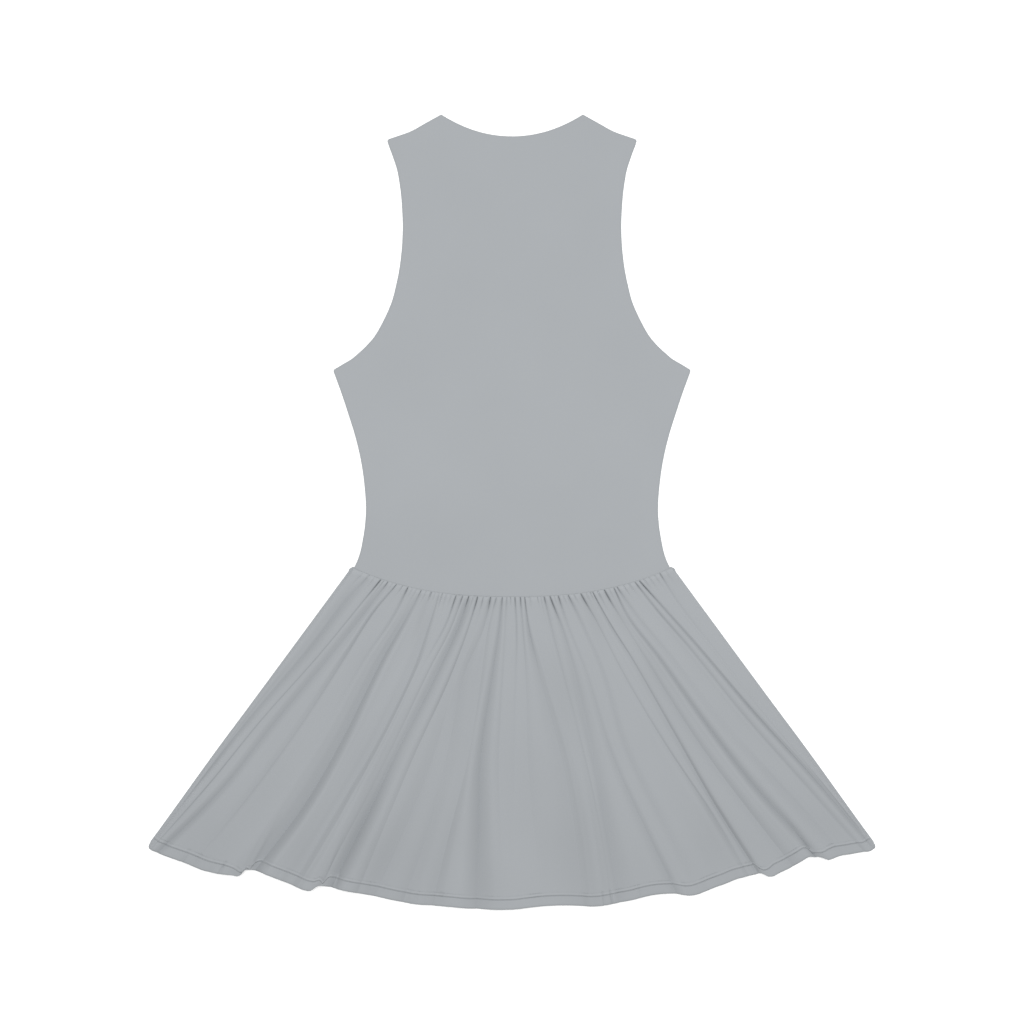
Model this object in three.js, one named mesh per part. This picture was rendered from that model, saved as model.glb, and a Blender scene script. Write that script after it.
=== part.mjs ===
// A sleeveless jersey dress with a gathered skirt, laid flat on its front with the back uppermost.
// Millimetres. +Z is up from the surface it lies on, +Y runs to the neck, and the origin is on that
// surface under the middle of the dress.
import * as THREE from 'three';

// Cloth and layers
const CLOTH = 1.2;
const SKIRT_WALL = 1.5;
const SEAM_GAP = 0.3;
const CLOTH_COLOUR = 0xadb1b4;

// Bodice: the neck, the shoulders and the side from the shoulder tip to the waist seam
const NECK_POINT = { x: 77.5, y: 437 };
const SHOULDER_BEND = { x: 106, y: 422 };
const SHOULDER_TIP = { x: 136, y: 408 };
const BACK_NECK = { drop: 24, bend: 2.05, round: 1 };
const FRONT_NECK = { drop: 84, bend: 2.3, round: 0.6 };
const TIP_ROUND = { width: 4, drop: 3.5 };
const BODICE_SIDE = [
  { y: 404.5, half: 134.9 },
  { y: 394, half: 131.2 },
  { y: 378, half: 126 },
  { y: 365, half: 124.1 },
  { y: 349, half: 122 },
  { y: 332, half: 120.8 },
  { y: 316, half: 120.2 },
  { y: 299, half: 120.7 },
  { y: 283, half: 122 },
  { y: 266, half: 124.3 },
  { y: 250, half: 127.6 },
  { y: 233, half: 132 },
  { y: 217, half: 138.6 },
  { y: 200, half: 148 },
  { y: 184, half: 160.4 },
  { y: 172, half: 173 },
  { y: 163, half: 185.4 },
  { y: 157.5, half: 193.6 },
  { y: 154.5, half: 196.2 },
  { y: 151, half: 195 },
  { y: 134, half: 188.7 },
  { y: 110, half: 179.4 },
  { y: 85, half: 172.2 },
  { y: 60, half: 166.1 },
  { y: 35, half: 162.3 },
  { y: 6, half: 160.4 },
  { y: -14, half: 161.2 },
  { y: -40, half: 165.6 },
  { y: -64.8, half: 171.6 },
];
const BODICE_COLUMNS = [0, 0.14, 0.28, 0.4, 0.5, 0.555, 0.57, 0.67, 0.78, 0.9, 0.965, 1];
const BODICE_CROWN = 0.9;
const BODICE_CROWN_POWER = 8;

// Waist seam: a curve that rises from the middle towards both sides
const SEAM_LOW = -94;
const SEAM_RISE = 31;
const SEAM_POWER = 2.4;
const SKIRT_TOP_HALF = 176;

// Skirt: straight flared sides down to a hem that sags to the middle
const HEM_HALF = 401;
const HEM_LOW = -437;
const HEM_RISE = 68;
const HEM_CORNER = { inward: 2, upward: 2.5 };
const HEM_WAVE_POWER = 4;
const FRONT_HEM_INSET = 2.5;
const FRONT_SIDE_INSET = 0.8;

// Waves of the hem edge across the skirt: share of the width, and how far the edge drops below its curve
const HEM_WAVES = [
  { share: 0, drop: 0 },
  { share: 0.018, drop: 3.3 },
  { share: 0.051, drop: 3.6 },
  { share: 0.092, drop: 6 },
  { share: 0.117, drop: 2.9 },
  { share: 0.133, drop: -3.9 },
  { share: 0.145, drop: -8.4 },
  { share: 0.183, drop: -4.4 },
  { share: 0.224, drop: 0 },
  { share: 0.24, drop: -6.6 },
  { share: 0.279, drop: -6.4 },
  { share: 0.333, drop: -3.3 },
  { share: 0.361, drop: -1.1 },
  { share: 0.443, drop: 0 },
  { share: 0.5, drop: 0 },
  { share: 0.553, drop: -3.6 },
  { share: 0.608, drop: 0 },
  { share: 0.662, drop: -2.6 },
  { share: 0.69, drop: -5.5 },
  { share: 0.717, drop: -4.4 },
  { share: 0.745, drop: 1.1 },
  { share: 0.775, drop: -2.2 },
  { share: 0.808, drop: -7 },
  { share: 0.833, drop: -8.3 },
  { share: 0.849, drop: -3 },
  { share: 0.857, drop: -1.4 },
  { share: 0.882, drop: -6.3 },
  { share: 0.907, drop: -11 },
  { share: 0.931, drop: -3 },
  { share: 0.964, drop: -1.7 },
  { share: 0.989, drop: 1.1 },
  { share: 1, drop: 0 },
];

// Long folds of the back skirt. For six stations down the skirt, from the seam to the hem, across is the
// fold's share of the width and deep is the depth of its trough; wide is the trough's half width at the hem
const STATIONS = [0, 0.1, 0.25, 0.5, 0.75, 1];
const LONG_FOLDS = [
  { across: [0.092, 0.078, 0.061, 0.0345, 0.0215, 0.005], deep: [2, 2.2, 2.4, 2.8, 3, 1.5], wide: 4 },
  { across: [0.114, 0.104, 0.082, 0.055, 0.041, 0.014], deep: [1.5, 4, 3, 3, 3.8, 4.5], wide: 7 },
  { across: [0.141, 0.12, 0.109, 0.098, 0.082, 0.062], deep: [2, 3.2, 2.6, 2.2, 1, 0], wide: 4 },
  { across: [0.176, 0.171, 0.143, 0.134, 0.119, 0.1], deep: [2, 3, 1, 0, 0, 0], wide: 5 },
  { across: [0.218, 0.207, 0.19, 0.182, 0.169, 0.139], deep: [1.5, 3.4, 5, 5.2, 6, 6.2], wide: 7 },
  { across: [0.273, 0.271, 0.262, 0.241, 0.219, 0.195], deep: [1.2, 2.6, 2.6, 2.6, 1.3, 0], wide: 5 },
  { across: [0.3265, 0.316, 0.279, 0.258, 0.236, 0.213], deep: [2, 2.6, 1.2, 0, 0, 0], wide: 4 },
  { across: [0.347, 0.333, 0.306, 0.275, 0.253, 0.231], deep: [2, 1.5, 1.6, 1.6, 1.6, 2], wide: 4 },
  { across: [0.366, 0.353, 0.3246, 0.29, 0.2695, 0.247], deep: [3, 3.8, 3.8, 5.2, 6.4, 6.4], wide: 8 },
  { across: [0.3935, 0.3805, 0.358, 0.321, 0.298, 0.278], deep: [3, 2.8, 2.6, 2.4, 1, 0], wide: 4 },
  { across: [0.411, 0.394, 0.371, 0.352, 0.333, 0.31], deep: [0.8, 0.6, 1, 1, 0.5, 0], wide: 5 },
  { across: [0.4335, 0.418, 0.388, 0.378, 0.368, 0.35], deep: [3, 1.6, 1.6, 0.5, 0, 0], wide: 6 },
  { across: [0.452, 0.44, 0.425, 0.419, 0.4, 0.387], deep: [1, 0.6, 0.4, 1.6, 2.6, 2.2], wide: 9 },
  { across: [0.47, 0.467, 0.455, 0.439, 0.4505, 0.467], deep: [2.5, 3, 3.8, 5, 4.8, 3], wide: 8 },
  { across: [0.484, 0.483, 0.481, 0.481, 0.485, 0.49], deep: [0.8, 0.8, 0.8, 0.6, 0, 0], wide: 4 },
  { across: [0.509, 0.5115, 0.509, 0.505, 0.505, 0.508], deep: [2, 1.6, 1.2, 0, 0, 0], wide: 4 },
  { across: [0.526, 0.53, 0.531, 0.536, 0.54, 0.545], deep: [2, 1.2, 0.8, 0, 0, 0], wide: 4 },
  { across: [0.5395, 0.547, 0.568, 0.598, 0.602, 0.598], deep: [2, 4, 2.2, 1.5, 2.2, 1.8], wide: 10 },
  { across: [0.6, 0.607, 0.621, 0.637, 0.641, 0.639], deep: [2.5, 1.8, 2, 2.4, 2.6, 2], wide: 5 },
  { across: [0.618, 0.636, 0.646, 0.657, 0.66, 0.664], deep: [3, 0.6, 0.2, 0.6, 2, 1.5], wide: 9 },
  { across: [0.644, 0.654, 0.672, 0.685, 0.705, 0.725], deep: [2.5, 1.5, 1.6, 2, 3, 4], wide: 5 },
  { across: [0.6745, 0.693, 0.714, 0.717, 0.7405, 0.762], deep: [2.5, 1.6, 1, 1.2, 1.8, 1], wide: 5 },
  { across: [0.714, 0.729, 0.757, 0.785, 0.813, 0.832], deep: [3, 1.4, 1.6, 3, 3.4, 0.6], wide: 7 },
  { across: [0.751, 0.765, 0.79, 0.813, 0.828, 0.8475], deep: [2.5, 3.8, 4.2, 5.2, 6.4, 6.4], wide: 7 },
  { across: [0.787, 0.799, 0.8205, 0.843, 0.869, 0.89], deep: [3, 1.4, 1.8, 2.6, 3.4, 2], wide: 6 },
  { across: [0.8175, 0.821, 0.849, 0.877, 0.903, 0.927], deep: [1.5, 3.6, 4.8, 5.6, 5.8, 6], wide: 8 },
  { across: [0.827, 0.843, 0.873, 0.904, 0.936, 0.956], deep: [2, 1.6, 1.6, 1.6, 1.6, 1], wide: 5 },
  { across: [0.883, 0.898, 0.923, 0.945, 0.968, 0.984], deep: [1.5, 4, 3.4, 2.8, 2.6, 1.5], wide: 5 },
  { across: [0.8965, 0.919, 0.941, 0.9635, 0.984, 0.9965], deep: [3, 4.6, 4.6, 4.6, 4.4, 1], wide: 6 },
];

// Short gathers of the back skirt: share of the seam, depth, and how far down the skirt they reach
const SHORT_GATHERS = [
  { seam: 0.009, deep: 1, reach: 0.06 },
  { seam: 0.037, deep: 0.8, reach: 0.03 },
  { seam: 0.059, deep: 1.6, reach: 0.6 },
  { seam: 0.0995, deep: 1, reach: 0.02 },
  { seam: 0.159, deep: 2, reach: 0.015 },
  { seam: 0.19, deep: 0.8, reach: 0.02 },
  { seam: 0.2335, deep: 1, reach: 0.05 },
  { seam: 0.2495, deep: 2, reach: 0.03 },
  { seam: 0.283, deep: 2, reach: 0.05 },
  { seam: 0.296, deep: 0.8, reach: 0.05 },
  { seam: 0.311, deep: 1, reach: 0.03 },
  { seam: 0.378, deep: 1, reach: 0.02 },
  { seam: 0.4955, deep: 2, reach: 0.025 },
  { seam: 0.555, deep: 0.8, reach: 0.03 },
  { seam: 0.579, deep: 2, reach: 0.05 },
  { seam: 0.659, deep: 0.8, reach: 0.03 },
  { seam: 0.6925, deep: 1.5, reach: 0.02 },
  { seam: 0.731, deep: 0.8, reach: 0.02 },
  { seam: 0.766, deep: 1.6, reach: 0.07 },
  { seam: 0.802, deep: 0.8, reach: 0.03 },
  { seam: 0.847, deep: 1, reach: 0.04 },
  { seam: 0.864, deep: 0.8, reach: 0.03 },
  { seam: 0.91, deep: 1, reach: 0.03 },
  { seam: 0.927, deep: 0.8, reach: 0.03 },
  { seam: 0.944, deep: 0.8, reach: 0.03 },
  { seam: 0.96, deep: 1.4, reach: 0.2 },
  { seam: 0.977, deep: 0.8, reach: 0.04 },
];

// Folds of the front skirt, which lies underneath: shares of the seam and of the hem, and how high the
// cloth lifts off the surface at the seam, half way down and at the hem
const FRONT_STATIONS = [0, 0.5, 1];
const FRONT_FOLDS = [
  { seam: 0.075, hem: 0.052, lift: [0.5, 1.1, 0.9] },
  { seam: 0.118, hem: 0.094, lift: [0.4, 0.6, 0] },
  { seam: 0.157, hem: 0.147, lift: [0.5, 1.5, 1.5] },
  { seam: 0.204, hem: 0.201, lift: [0.5, 0.9, 1.2] },
  { seam: 0.246, hem: 0.232, lift: [0.4, 0.5, 0] },
  { seam: 0.291, hem: 0.282, lift: [0.5, 1.4, 1.5] },
  { seam: 0.332, hem: 0.318, lift: [0.5, 0.7, 0.5] },
  { seam: 0.374, hem: 0.371, lift: [0.4, 1.2, 1.4] },
  { seam: 0.421, hem: 0.404, lift: [0.5, 0.6, 0] },
  { seam: 0.463, hem: 0.449, lift: [0.5, 1.5, 1.3] },
  { seam: 0.507, hem: 0.498, lift: [0.4, 0.8, 0.6] },
  { seam: 0.548, hem: 0.556, lift: [0.5, 1.3, 1.5] },
  { seam: 0.59, hem: 0.601, lift: [0.5, 0.6, 0] },
  { seam: 0.631, hem: 0.634, lift: [0.4, 1, 1.2] },
  { seam: 0.676, hem: 0.69, lift: [0.5, 1.5, 1.5] },
  { seam: 0.714, hem: 0.731, lift: [0.4, 0.5, 0.3] },
  { seam: 0.757, hem: 0.768, lift: [0.5, 1.2, 1.4] },
  { seam: 0.801, hem: 0.816, lift: [0.5, 0.9, 0.6] },
  { seam: 0.839, hem: 0.859, lift: [0.4, 1.4, 1.5] },
  { seam: 0.884, hem: 0.903, lift: [0.5, 0.7, 0.4] },
  { seam: 0.926, hem: 0.947, lift: [0.5, 1.1, 1] },
];

// Loft of the back skirt above the surface
const LIFT_MAX = 1.5;
const LIFT_AT_SEAM = 0.5;
const LIFT_GROWS_BY = 0.08;
const AIR = 2.2;
const AIR_GROWS_BY = 0.04;
const FLANK_SHARE = 0.8;
const FLANK_WIDTH = 3.5;
const NARROW_AT_SEAM = 0.35;
const WIDENS_BY = 0.25;
const PUFF_PER_GAP = 0.3;
const PUFF_MAX = 2.6;
const PUFF_PEAK = 0.02;
const SIDE_ROUND = 14;
const BACK_ROWS = [0, 0.012, 0.03, 0.055, 0.1, 0.17, 0.25, 0.37, 0.5, 0.63, 0.75, 0.87, 0.95, 1];
const FRONT_ROWS = [0, 0.03, 0.1, 0.25, 0.4, 0.55, 0.7, 0.85, 1];

const clamp01 = (value) => Math.min(1, Math.max(0, value));

// A soft step from 0 to 1
function ease(value) {
  const share = clamp01(value);
  return share * share * (3 - 2 * share);
}

// Straight interpolation in a table: the value in one column where another column reaches a number
function lookUp(table, key, at, value) {
  const first = table[0];
  const rising = table[table.length - 1][key] > first[key];
  const reached = (row) => (rising ? row[key] >= at : row[key] <= at);
  const next = table.findIndex(reached);
  if (next === 0) {
    return first[value];
  }
  if (next < 0) {
    return table[table.length - 1][value];
  }
  const a = table[next - 1];
  const b = table[next];
  return a[value] + ((b[value] - a[value]) * (at - a[key])) / (b[key] - a[key]);
}

// A smooth curve through values at rising stations, whose slope at each is that of its two neighbours
function smoothThrough(stations, values, at) {
  const last = stations.length - 1;
  const next = Math.max(1, Math.min(last, stations.findIndex((station) => station >= at)));
  const slope = (i) => {
    const before = Math.max(0, i - 1);
    const after = Math.min(last, i + 1);
    return (values[after] - values[before]) / (stations[after] - stations[before]);
  };
  const step = stations[next] - stations[next - 1];
  const t = (at - stations[next - 1]) / step;
  const hold = 2 * t ** 3 - 3 * t ** 2 + 1;
  const leave = (t ** 3 - 2 * t ** 2 + t) * step * slope(next - 1);
  const arrive = (t ** 3 - t ** 2) * step * slope(next);
  return values[next - 1] * hold + values[next] * (1 - hold) + leave + arrive;
}

// A closed wall between two grids of points, the upper one and the lower one
function wallGeometry(columnCount, rowCount, upperPoint, lowerPoint) {
  const points = [];
  for (const pointAt of [upperPoint, lowerPoint]) {
    for (let row = 0; row < rowCount; row += 1) {
      for (let column = 0; column < columnCount; column += 1) {
        points.push(...pointAt(column, row));
      }
    }
  }
  const upper = (column, row) => row * columnCount + column;
  const lower = (column, row) => upper(column, row) + rowCount * columnCount;
  const faces = [];
  const quad = (a, b, c, d) => faces.push(a, b, c, a, c, d);
  for (let row = 1; row < rowCount; row += 1) {
    for (let column = 1; column < columnCount; column += 1) {
      const left = column - 1;
      const above = row - 1;
      quad(upper(left, above), upper(left, row), upper(column, row), upper(column, above));
      quad(lower(left, above), lower(column, above), lower(column, row), lower(left, row));
    }
  }
  const right = columnCount - 1;
  const bottom = rowCount - 1;
  for (let row = 1; row < rowCount; row += 1) {
    quad(upper(0, row), upper(0, row - 1), lower(0, row - 1), lower(0, row));
    quad(upper(right, row - 1), upper(right, row), lower(right, row), lower(right, row - 1));
  }
  for (let column = 1; column < columnCount; column += 1) {
    quad(upper(column - 1, 0), upper(column, 0), lower(column, 0), lower(column - 1, 0));
    quad(upper(column, bottom), upper(column - 1, bottom), lower(column - 1, bottom), lower(column, bottom));
  }
  const geometry = new THREE.BufferGeometry();
  geometry.setAttribute('position', new THREE.Float32BufferAttribute(points, 3));
  geometry.setIndex(faces);
  geometry.computeVertexNormals();
  return geometry;
}

function seamHeight(x) {
  return SEAM_LOW + SEAM_RISE * (Math.abs(x) / SKIRT_TOP_HALF) ** SEAM_POWER;
}

// Bodice panels

// The top edge across half the bodice: the neckline, then the two stretches of the shoulder
function bodiceTop(share, neck) {
  const x = Math.abs(share) * SHOULDER_TIP.x;
  if (x <= NECK_POINT.x) {
    return NECK_POINT.y - neck.drop * (1 - (x / NECK_POINT.x) ** neck.bend) ** neck.round;
  }
  const line = lookUp([NECK_POINT, SHOULDER_BEND, SHOULDER_TIP], 'x', x, 'y');
  const round = clamp01((x - SHOULDER_TIP.x + TIP_ROUND.width) / TIP_ROUND.width);
  return line - TIP_ROUND.drop * round * round;
}

function bodiceHalf(y) {
  return y > BODICE_SIDE[0].y ? SHOULDER_TIP.x : lookUp(BODICE_SIDE, 'y', y, 'half');
}

// One bodice panel: rows follow the side's table, and each column spreads them from its top to the seam
function bodicePanel(neck, restsAt, crown) {
  const columns = [...BODICE_COLUMNS.slice(1).reverse().map((share) => -share), ...BODICE_COLUMNS];
  const sideTop = BODICE_SIDE[0].y;
  const sideEnd = BODICE_SIDE[BODICE_SIDE.length - 1];
  const plan = (column, row) => {
    const share = columns[column];
    const down = (sideTop - BODICE_SIDE[row].y) / (sideTop - sideEnd.y);
    const top = bodiceTop(share, neck);
    const y = top + (seamHeight(share * sideEnd.half) - top) * down;
    const half = row === 0 && Math.abs(share) === 1 ? BODICE_SIDE[0].half : bodiceHalf(y);
    return [share * half, y];
  };
  const height = (column) => restsAt + crown * (1 - Math.abs(columns[column]) ** BODICE_CROWN_POWER);
  return wallGeometry(
    columns.length,
    BODICE_SIDE.length,
    (column, row) => [...plan(column, row), height(column) + CLOTH],
    (column, row) => [...plan(column, row), height(column)],
  );
}

// Skirt panels

// The place of a share across and a share down the skirt, drawn in at the sides and the hem
function skirtPlan(across, down, sideInset, hemInset) {
  const side = 2 * across - 1;
  const topX = side * (SKIRT_TOP_HALF - sideInset);
  const hemX = side * (HEM_HALF - sideInset);
  const topY = seamHeight(topX) - SEAM_GAP;
  const hemY = HEM_LOW + HEM_RISE * side * side + hemInset;
  const wave = lookUp(HEM_WAVES, 'share', across, 'drop') * down ** HEM_WAVE_POWER;
  const corner = down === 1 && Math.abs(side) === 1 ? 1 : 0;
  return [
    topX + (hemX - topX) * down - Math.sign(side) * HEM_CORNER.inward * corner,
    topY + (hemY - topY) * down - wave + HEM_CORNER.upward * corner,
  ];
}

function skirtWidth(down) {
  return 2 * (SKIRT_TOP_HALF + (HEM_HALF - SKIRT_TOP_HALF) * down);
}

// Puts a line's share of the width at any height: a long fold by its table, a short gather by its place
// between the long folds on its two sides
function lineAcross(line, longLines, down) {
  if (line.across) {
    return smoothThrough(STATIONS, line.across, down);
  }
  const after = longLines.findIndex((long) => long.seam > line.seam);
  const left = longLines[after - 1];
  const right = longLines[after];
  const mix = (line.seam - left.seam) / (right.seam - left.seam);
  return lineAcross(left, longLines, down) * (1 - mix) + lineAcross(right, longLines, down) * mix;
}

// Columns of the back skirt: both edges, every fold and gather, and one column midway between each two
function backSkirtColumns() {
  const edges = [0, 1].map((place) => ({ seam: place, across: STATIONS.map(() => place) }));
  const longLines = [edges[0], ...LONG_FOLDS.map((fold) => ({ ...fold, seam: fold.across[0] })), edges[1]];
  const lines = [...longLines, ...SHORT_GATHERS].sort((a, b) => a.seam - b.seam);
  const columns = [];
  lines.forEach((line, index) => {
    if (index > 0) {
      const before = lines[index - 1];
      const gap = (line.seam - before.seam) * skirtWidth(0);
      columns.push({
        puff: Math.min(PUFF_MAX, PUFF_PER_GAP * gap),
        acrossAt: (down) => (lineAcross(before, longLines, down) + lineAcross(line, longLines, down)) / 2,
      });
    }
    const gather = line.reach ? line : null;
    columns.push({ gather, puff: 0, acrossAt: (down) => lineAcross(line, longLines, down) });
  });
  return columns;
}

// Lowest that the upper face of the back skirt may lie over the front skirt
function backSkirtFloor(down) {
  const lift = LIFT_AT_SEAM + (LIFT_MAX - LIFT_AT_SEAM) * ease(down / LIFT_GROWS_BY);
  return CLOTH + lift + SEAM_GAP + SKIRT_WALL;
}

// Height of the back skirt's upper face: air under the cloth, the raised flanks and cut troughs of the
// long folds, the short gathers and the puffs between them, all closing down at the side edges
function backSkirtHeight(column, down) {
  const across = column.acrossAt(down);
  const narrow = NARROW_AT_SEAM + (1 - NARROW_AT_SEAM) * ease(down / WIDENS_BY);
  let relief = AIR * ease(down / AIR_GROWS_BY);
  for (const fold of LONG_FOLDS) {
    const away = Math.abs(across - smoothThrough(STATIONS, fold.across, down)) * skirtWidth(down);
    const deep = Math.max(0, smoothThrough(STATIONS, fold.deep, down));
    const wide = fold.wide * narrow;
    relief += FLANK_SHARE * deep * Math.exp(-((away / (FLANK_WIDTH * wide)) ** 2));
    relief -= deep * Math.exp(-away / wide);
  }
  relief += column.puff * (down / PUFF_PEAK) * Math.exp(1 - down / PUFF_PEAK);
  if (column.gather) {
    relief -= column.gather.deep * Math.exp(-((down / column.gather.reach) ** 2));
  }
  const low = backSkirtFloor(down);
  const edge = CLOTH + SEAM_GAP + SKIRT_WALL;
  const inFromEdge = (0.5 - Math.abs(across - 0.5)) * skirtWidth(down);
  return edge + (low + Math.max(0, relief) - edge) * ease(inFromEdge / SIDE_ROUND);
}

function backSkirt() {
  const columns = backSkirtColumns();
  const point = (drop) => (column, row) => {
    const down = BACK_ROWS[row];
    const [x, y] = skirtPlan(columns[column].acrossAt(down), down, 0, 0);
    return [x, y, backSkirtHeight(columns[column], down) - drop];
  };
  return wallGeometry(columns.length, BACK_ROWS.length, point(0), point(SKIRT_WALL));
}

// The front skirt rests flat between its folds; each fold is one lifted column between two that lie down
function frontSkirt() {
  const lines = [{ seam: 0, hem: 0 }, ...FRONT_FOLDS, { seam: 1, hem: 1 }];
  const columns = [];
  lines.forEach((line, index) => {
    if (index > 0) {
      const before = lines[index - 1];
      for (const mix of [1 / 3, 2 / 3]) {
        columns.push({
          seam: before.seam + (line.seam - before.seam) * mix,
          hem: before.hem + (line.hem - before.hem) * mix,
        });
      }
    }
    columns.push(line);
  });
  const point = (thickness) => (column, row) => {
    const down = FRONT_ROWS[row];
    const { seam, hem, lift } = columns[column];
    const [x, y] = skirtPlan(seam + (hem - seam) * down, down, FRONT_SIDE_INSET, FRONT_HEM_INSET * down);
    const wanted = lift ? smoothThrough(FRONT_STATIONS, lift, down) : 0;
    const lifted = Math.min(LIFT_MAX, Math.max(0, wanted));
    return [x, y, lifted + thickness];
  };
  return wallGeometry(columns.length, FRONT_ROWS.length, point(CLOTH), point(0));
}

// The dress
const dress = new THREE.Group();

function addPanel(name, geometry) {
  const material = new THREE.MeshStandardMaterial({ color: CLOTH_COLOUR, roughness: 0.92, metalness: 0 });
  const mesh = new THREE.Mesh(geometry, material);
  mesh.name = name;
  dress.add(mesh);
}

addPanel('front_bodice', bodicePanel(FRONT_NECK, 0, 0));
addPanel('front_skirt', frontSkirt());
addPanel('back_bodice', bodicePanel(BACK_NECK, CLOTH + SEAM_GAP, BODICE_CROWN));
addPanel('back_skirt', backSkirt());

export default dress;
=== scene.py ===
"""Looks of a sleeveless jersey dress with a gathered skirt, laid flat on its front with the back uppermost.

Sizes are in millimetres, as a maker writes them, and become metres where a mesh is made. Y runs from the
hem to the neck, X across the back, and Z up from the surface that the dress lies on.
"""

import logging
import math
from dataclasses import dataclass
from enum import Enum

import bpy
import numpy as np
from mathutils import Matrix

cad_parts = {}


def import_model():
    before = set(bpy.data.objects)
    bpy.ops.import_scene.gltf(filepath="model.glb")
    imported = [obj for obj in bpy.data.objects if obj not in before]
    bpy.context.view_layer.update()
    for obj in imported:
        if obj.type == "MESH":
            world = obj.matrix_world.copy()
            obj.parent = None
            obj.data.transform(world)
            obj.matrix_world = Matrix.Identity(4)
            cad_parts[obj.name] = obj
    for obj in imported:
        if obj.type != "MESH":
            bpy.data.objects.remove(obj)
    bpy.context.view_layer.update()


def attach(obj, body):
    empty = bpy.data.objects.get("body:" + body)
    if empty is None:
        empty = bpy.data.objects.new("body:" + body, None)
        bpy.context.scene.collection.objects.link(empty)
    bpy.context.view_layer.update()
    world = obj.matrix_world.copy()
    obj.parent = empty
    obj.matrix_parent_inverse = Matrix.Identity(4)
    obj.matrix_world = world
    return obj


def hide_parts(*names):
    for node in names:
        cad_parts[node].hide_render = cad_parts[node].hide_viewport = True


MM = 0.001
LOG = logging.getLogger("dress")


class Layer(Enum):
    """Which of the two layers of the dress a panel belongs to."""

    FRONT = "front"
    BACK = "back"


class Hold(Enum):
    """How a piece of cloth is held."""

    LAID = "laid"
    GATHERED = "gathered"


def ease(value: np.ndarray) -> np.ndarray:
    """A soft step: 0 below 0, 1 above 1, and three squares less two cubes between.

    Args:
        value: Numbers to step.

    Returns:
        The stepped numbers.
    """
    share = np.clip(value, 0.0, 1.0)
    return share * share * (3.0 - 2.0 * share)


def smooth_through(stations: np.ndarray, values: np.ndarray, at: np.ndarray) -> np.ndarray:
    """A cubic curve through values at rising stations, with each slope taken from the two neighbours.

    Args:
        stations: Rising places, one for each value.
        values: One row of values for each curve, or a single row.
        at: Places to read the curves at.

    Returns:
        One row for each curve, with one value for each place.
    """
    stations = np.asarray(stations, float)
    values = np.atleast_2d(np.asarray(values, float))
    at = np.asarray(at, float)
    before = np.r_[0, np.arange(stations.size - 1)]
    after = np.r_[np.arange(1, stations.size), stations.size - 1]
    slope = (values[:, after] - values[:, before]) / (stations[after] - stations[before])
    i = np.clip(np.searchsorted(stations, at) - 1, 0, stations.size - 2)
    step = stations[i + 1] - stations[i]
    t = (at - stations[i]) / step
    hold = 2 * t**3 - 3 * t**2 + 1
    leave = (t**3 - 2 * t**2 + t) * step
    arrive = (t**3 - t**2) * step
    curve = values[:, i] * hold + values[:, i + 1] * (1 - hold)
    return curve + slope[:, i] * leave + slope[:, i + 1] * arrive


def edge_roll(distance: np.ndarray, radius: float) -> np.ndarray:
    """How far a turned edge drops below the cloth: a quarter circle over the last radius of it.

    Args:
        distance: Distance in from the edge.
        radius: Radius of the turned edge.

    Returns:
        The drop at each distance.
    """
    inward = 1.0 - np.clip(distance / radius, 0.0, 1.0)
    return radius * (1.0 - np.sqrt(1.0 - inward**2))


def crease(away: np.ndarray, width: np.ndarray | float) -> np.ndarray:
    """A trough with a sharp bottom: its slope fades as 1 - t squared, so it is 1 - 3/2 t + 1/2 t cubed.

    Args:
        away: Distance from the bottom, to either side.
        width: Distance at which the cloth is level again, where t is 1.

    Returns:
        The depth, 1 at the bottom and 0 outside.
    """
    t = np.clip(np.abs(away) / width, 0.0, 1.0)
    return 1.0 - 1.5 * t + 0.5 * t**3


def ripple(phase: np.ndarray, waves: tuple[tuple[float, float, float], ...]) -> np.ndarray:
    """Sum of sines, one for each wave of count, start and size.

    Args:
        phase: Place along the ripple, from 0 to 1.
        waves: For each wave, how many run from 0 to 1, where it starts and how high it is.

    Returns:
        The height at each place.
    """
    return sum(size * np.sin(2 * np.pi * (count * phase + start)) for count, start, size in waves)


def normals_of(points: np.ndarray) -> np.ndarray:
    """Unit normals of a grid of points: the cross product of its steps across and up.

    Args:
        points: Rows by columns by 3, rows running down the dress and columns to the right.

    Returns:
        Normals that look up, rows by columns by 3.
    """
    down = np.gradient(points, axis=0)
    right = np.gradient(points, axis=1)
    normal = np.cross(down, right)
    return normal / np.maximum(np.linalg.norm(normal, axis=2, keepdims=True), 1e-9)


def dense_at_ends(count: int, edge_steps: tuple[float, ...]) -> np.ndarray:
    """Shares from 0 to 1 that close up at both ends.

    Args:
        count: How many even shares fill the middle.
        edge_steps: Small shares next to each end, rising.

    Returns:
        The rising shares.
    """
    near = np.asarray(edge_steps, float)
    middle = np.linspace(near[-1], 1.0 - near[-1], count)
    return np.r_[0.0, near[:-1], middle, 1.0 - near[-2::-1], 1.0]


@dataclass(frozen=True)
class LongFold:
    """One long fold of the back skirt, read at six stations from the seam to the hem.

    across is the share of the skirt's width where its trough lies and steep is how steeply the cloth falls
    into it. left and right are the widths over which the cloth climbs out at the hem, in millimetres, and
    top is the width at the seam as a share of them.
    """

    across: tuple[float, ...]
    steep: tuple[float, ...]
    left: float
    right: float
    top: float


@dataclass(frozen=True)
class ShortGather:
    """One short gather: its share of the seam, its depth, its half width and how far down it reaches."""

    seam: float
    deep: float
    wide: float
    reach: float


@dataclass(frozen=True)
class PaintedShadePatch:
    """One soft patch of painted shade, or of painted highlight where its tone is above 0: its middle, its
    half sizes and its tone.
    """

    across: float
    down: float
    wide: float
    long: float
    tone: float


@dataclass(frozen=True)
class HemTurn:
    """One end of a lobe of the hem, where it rolls under.

    across is its share of the width. over is the length of the lobe's end, negative where the lobe lies to
    the left, and lost is how much of the stitched band it hides, both in millimetres.
    """

    across: float
    over: float
    lost: float


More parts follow.
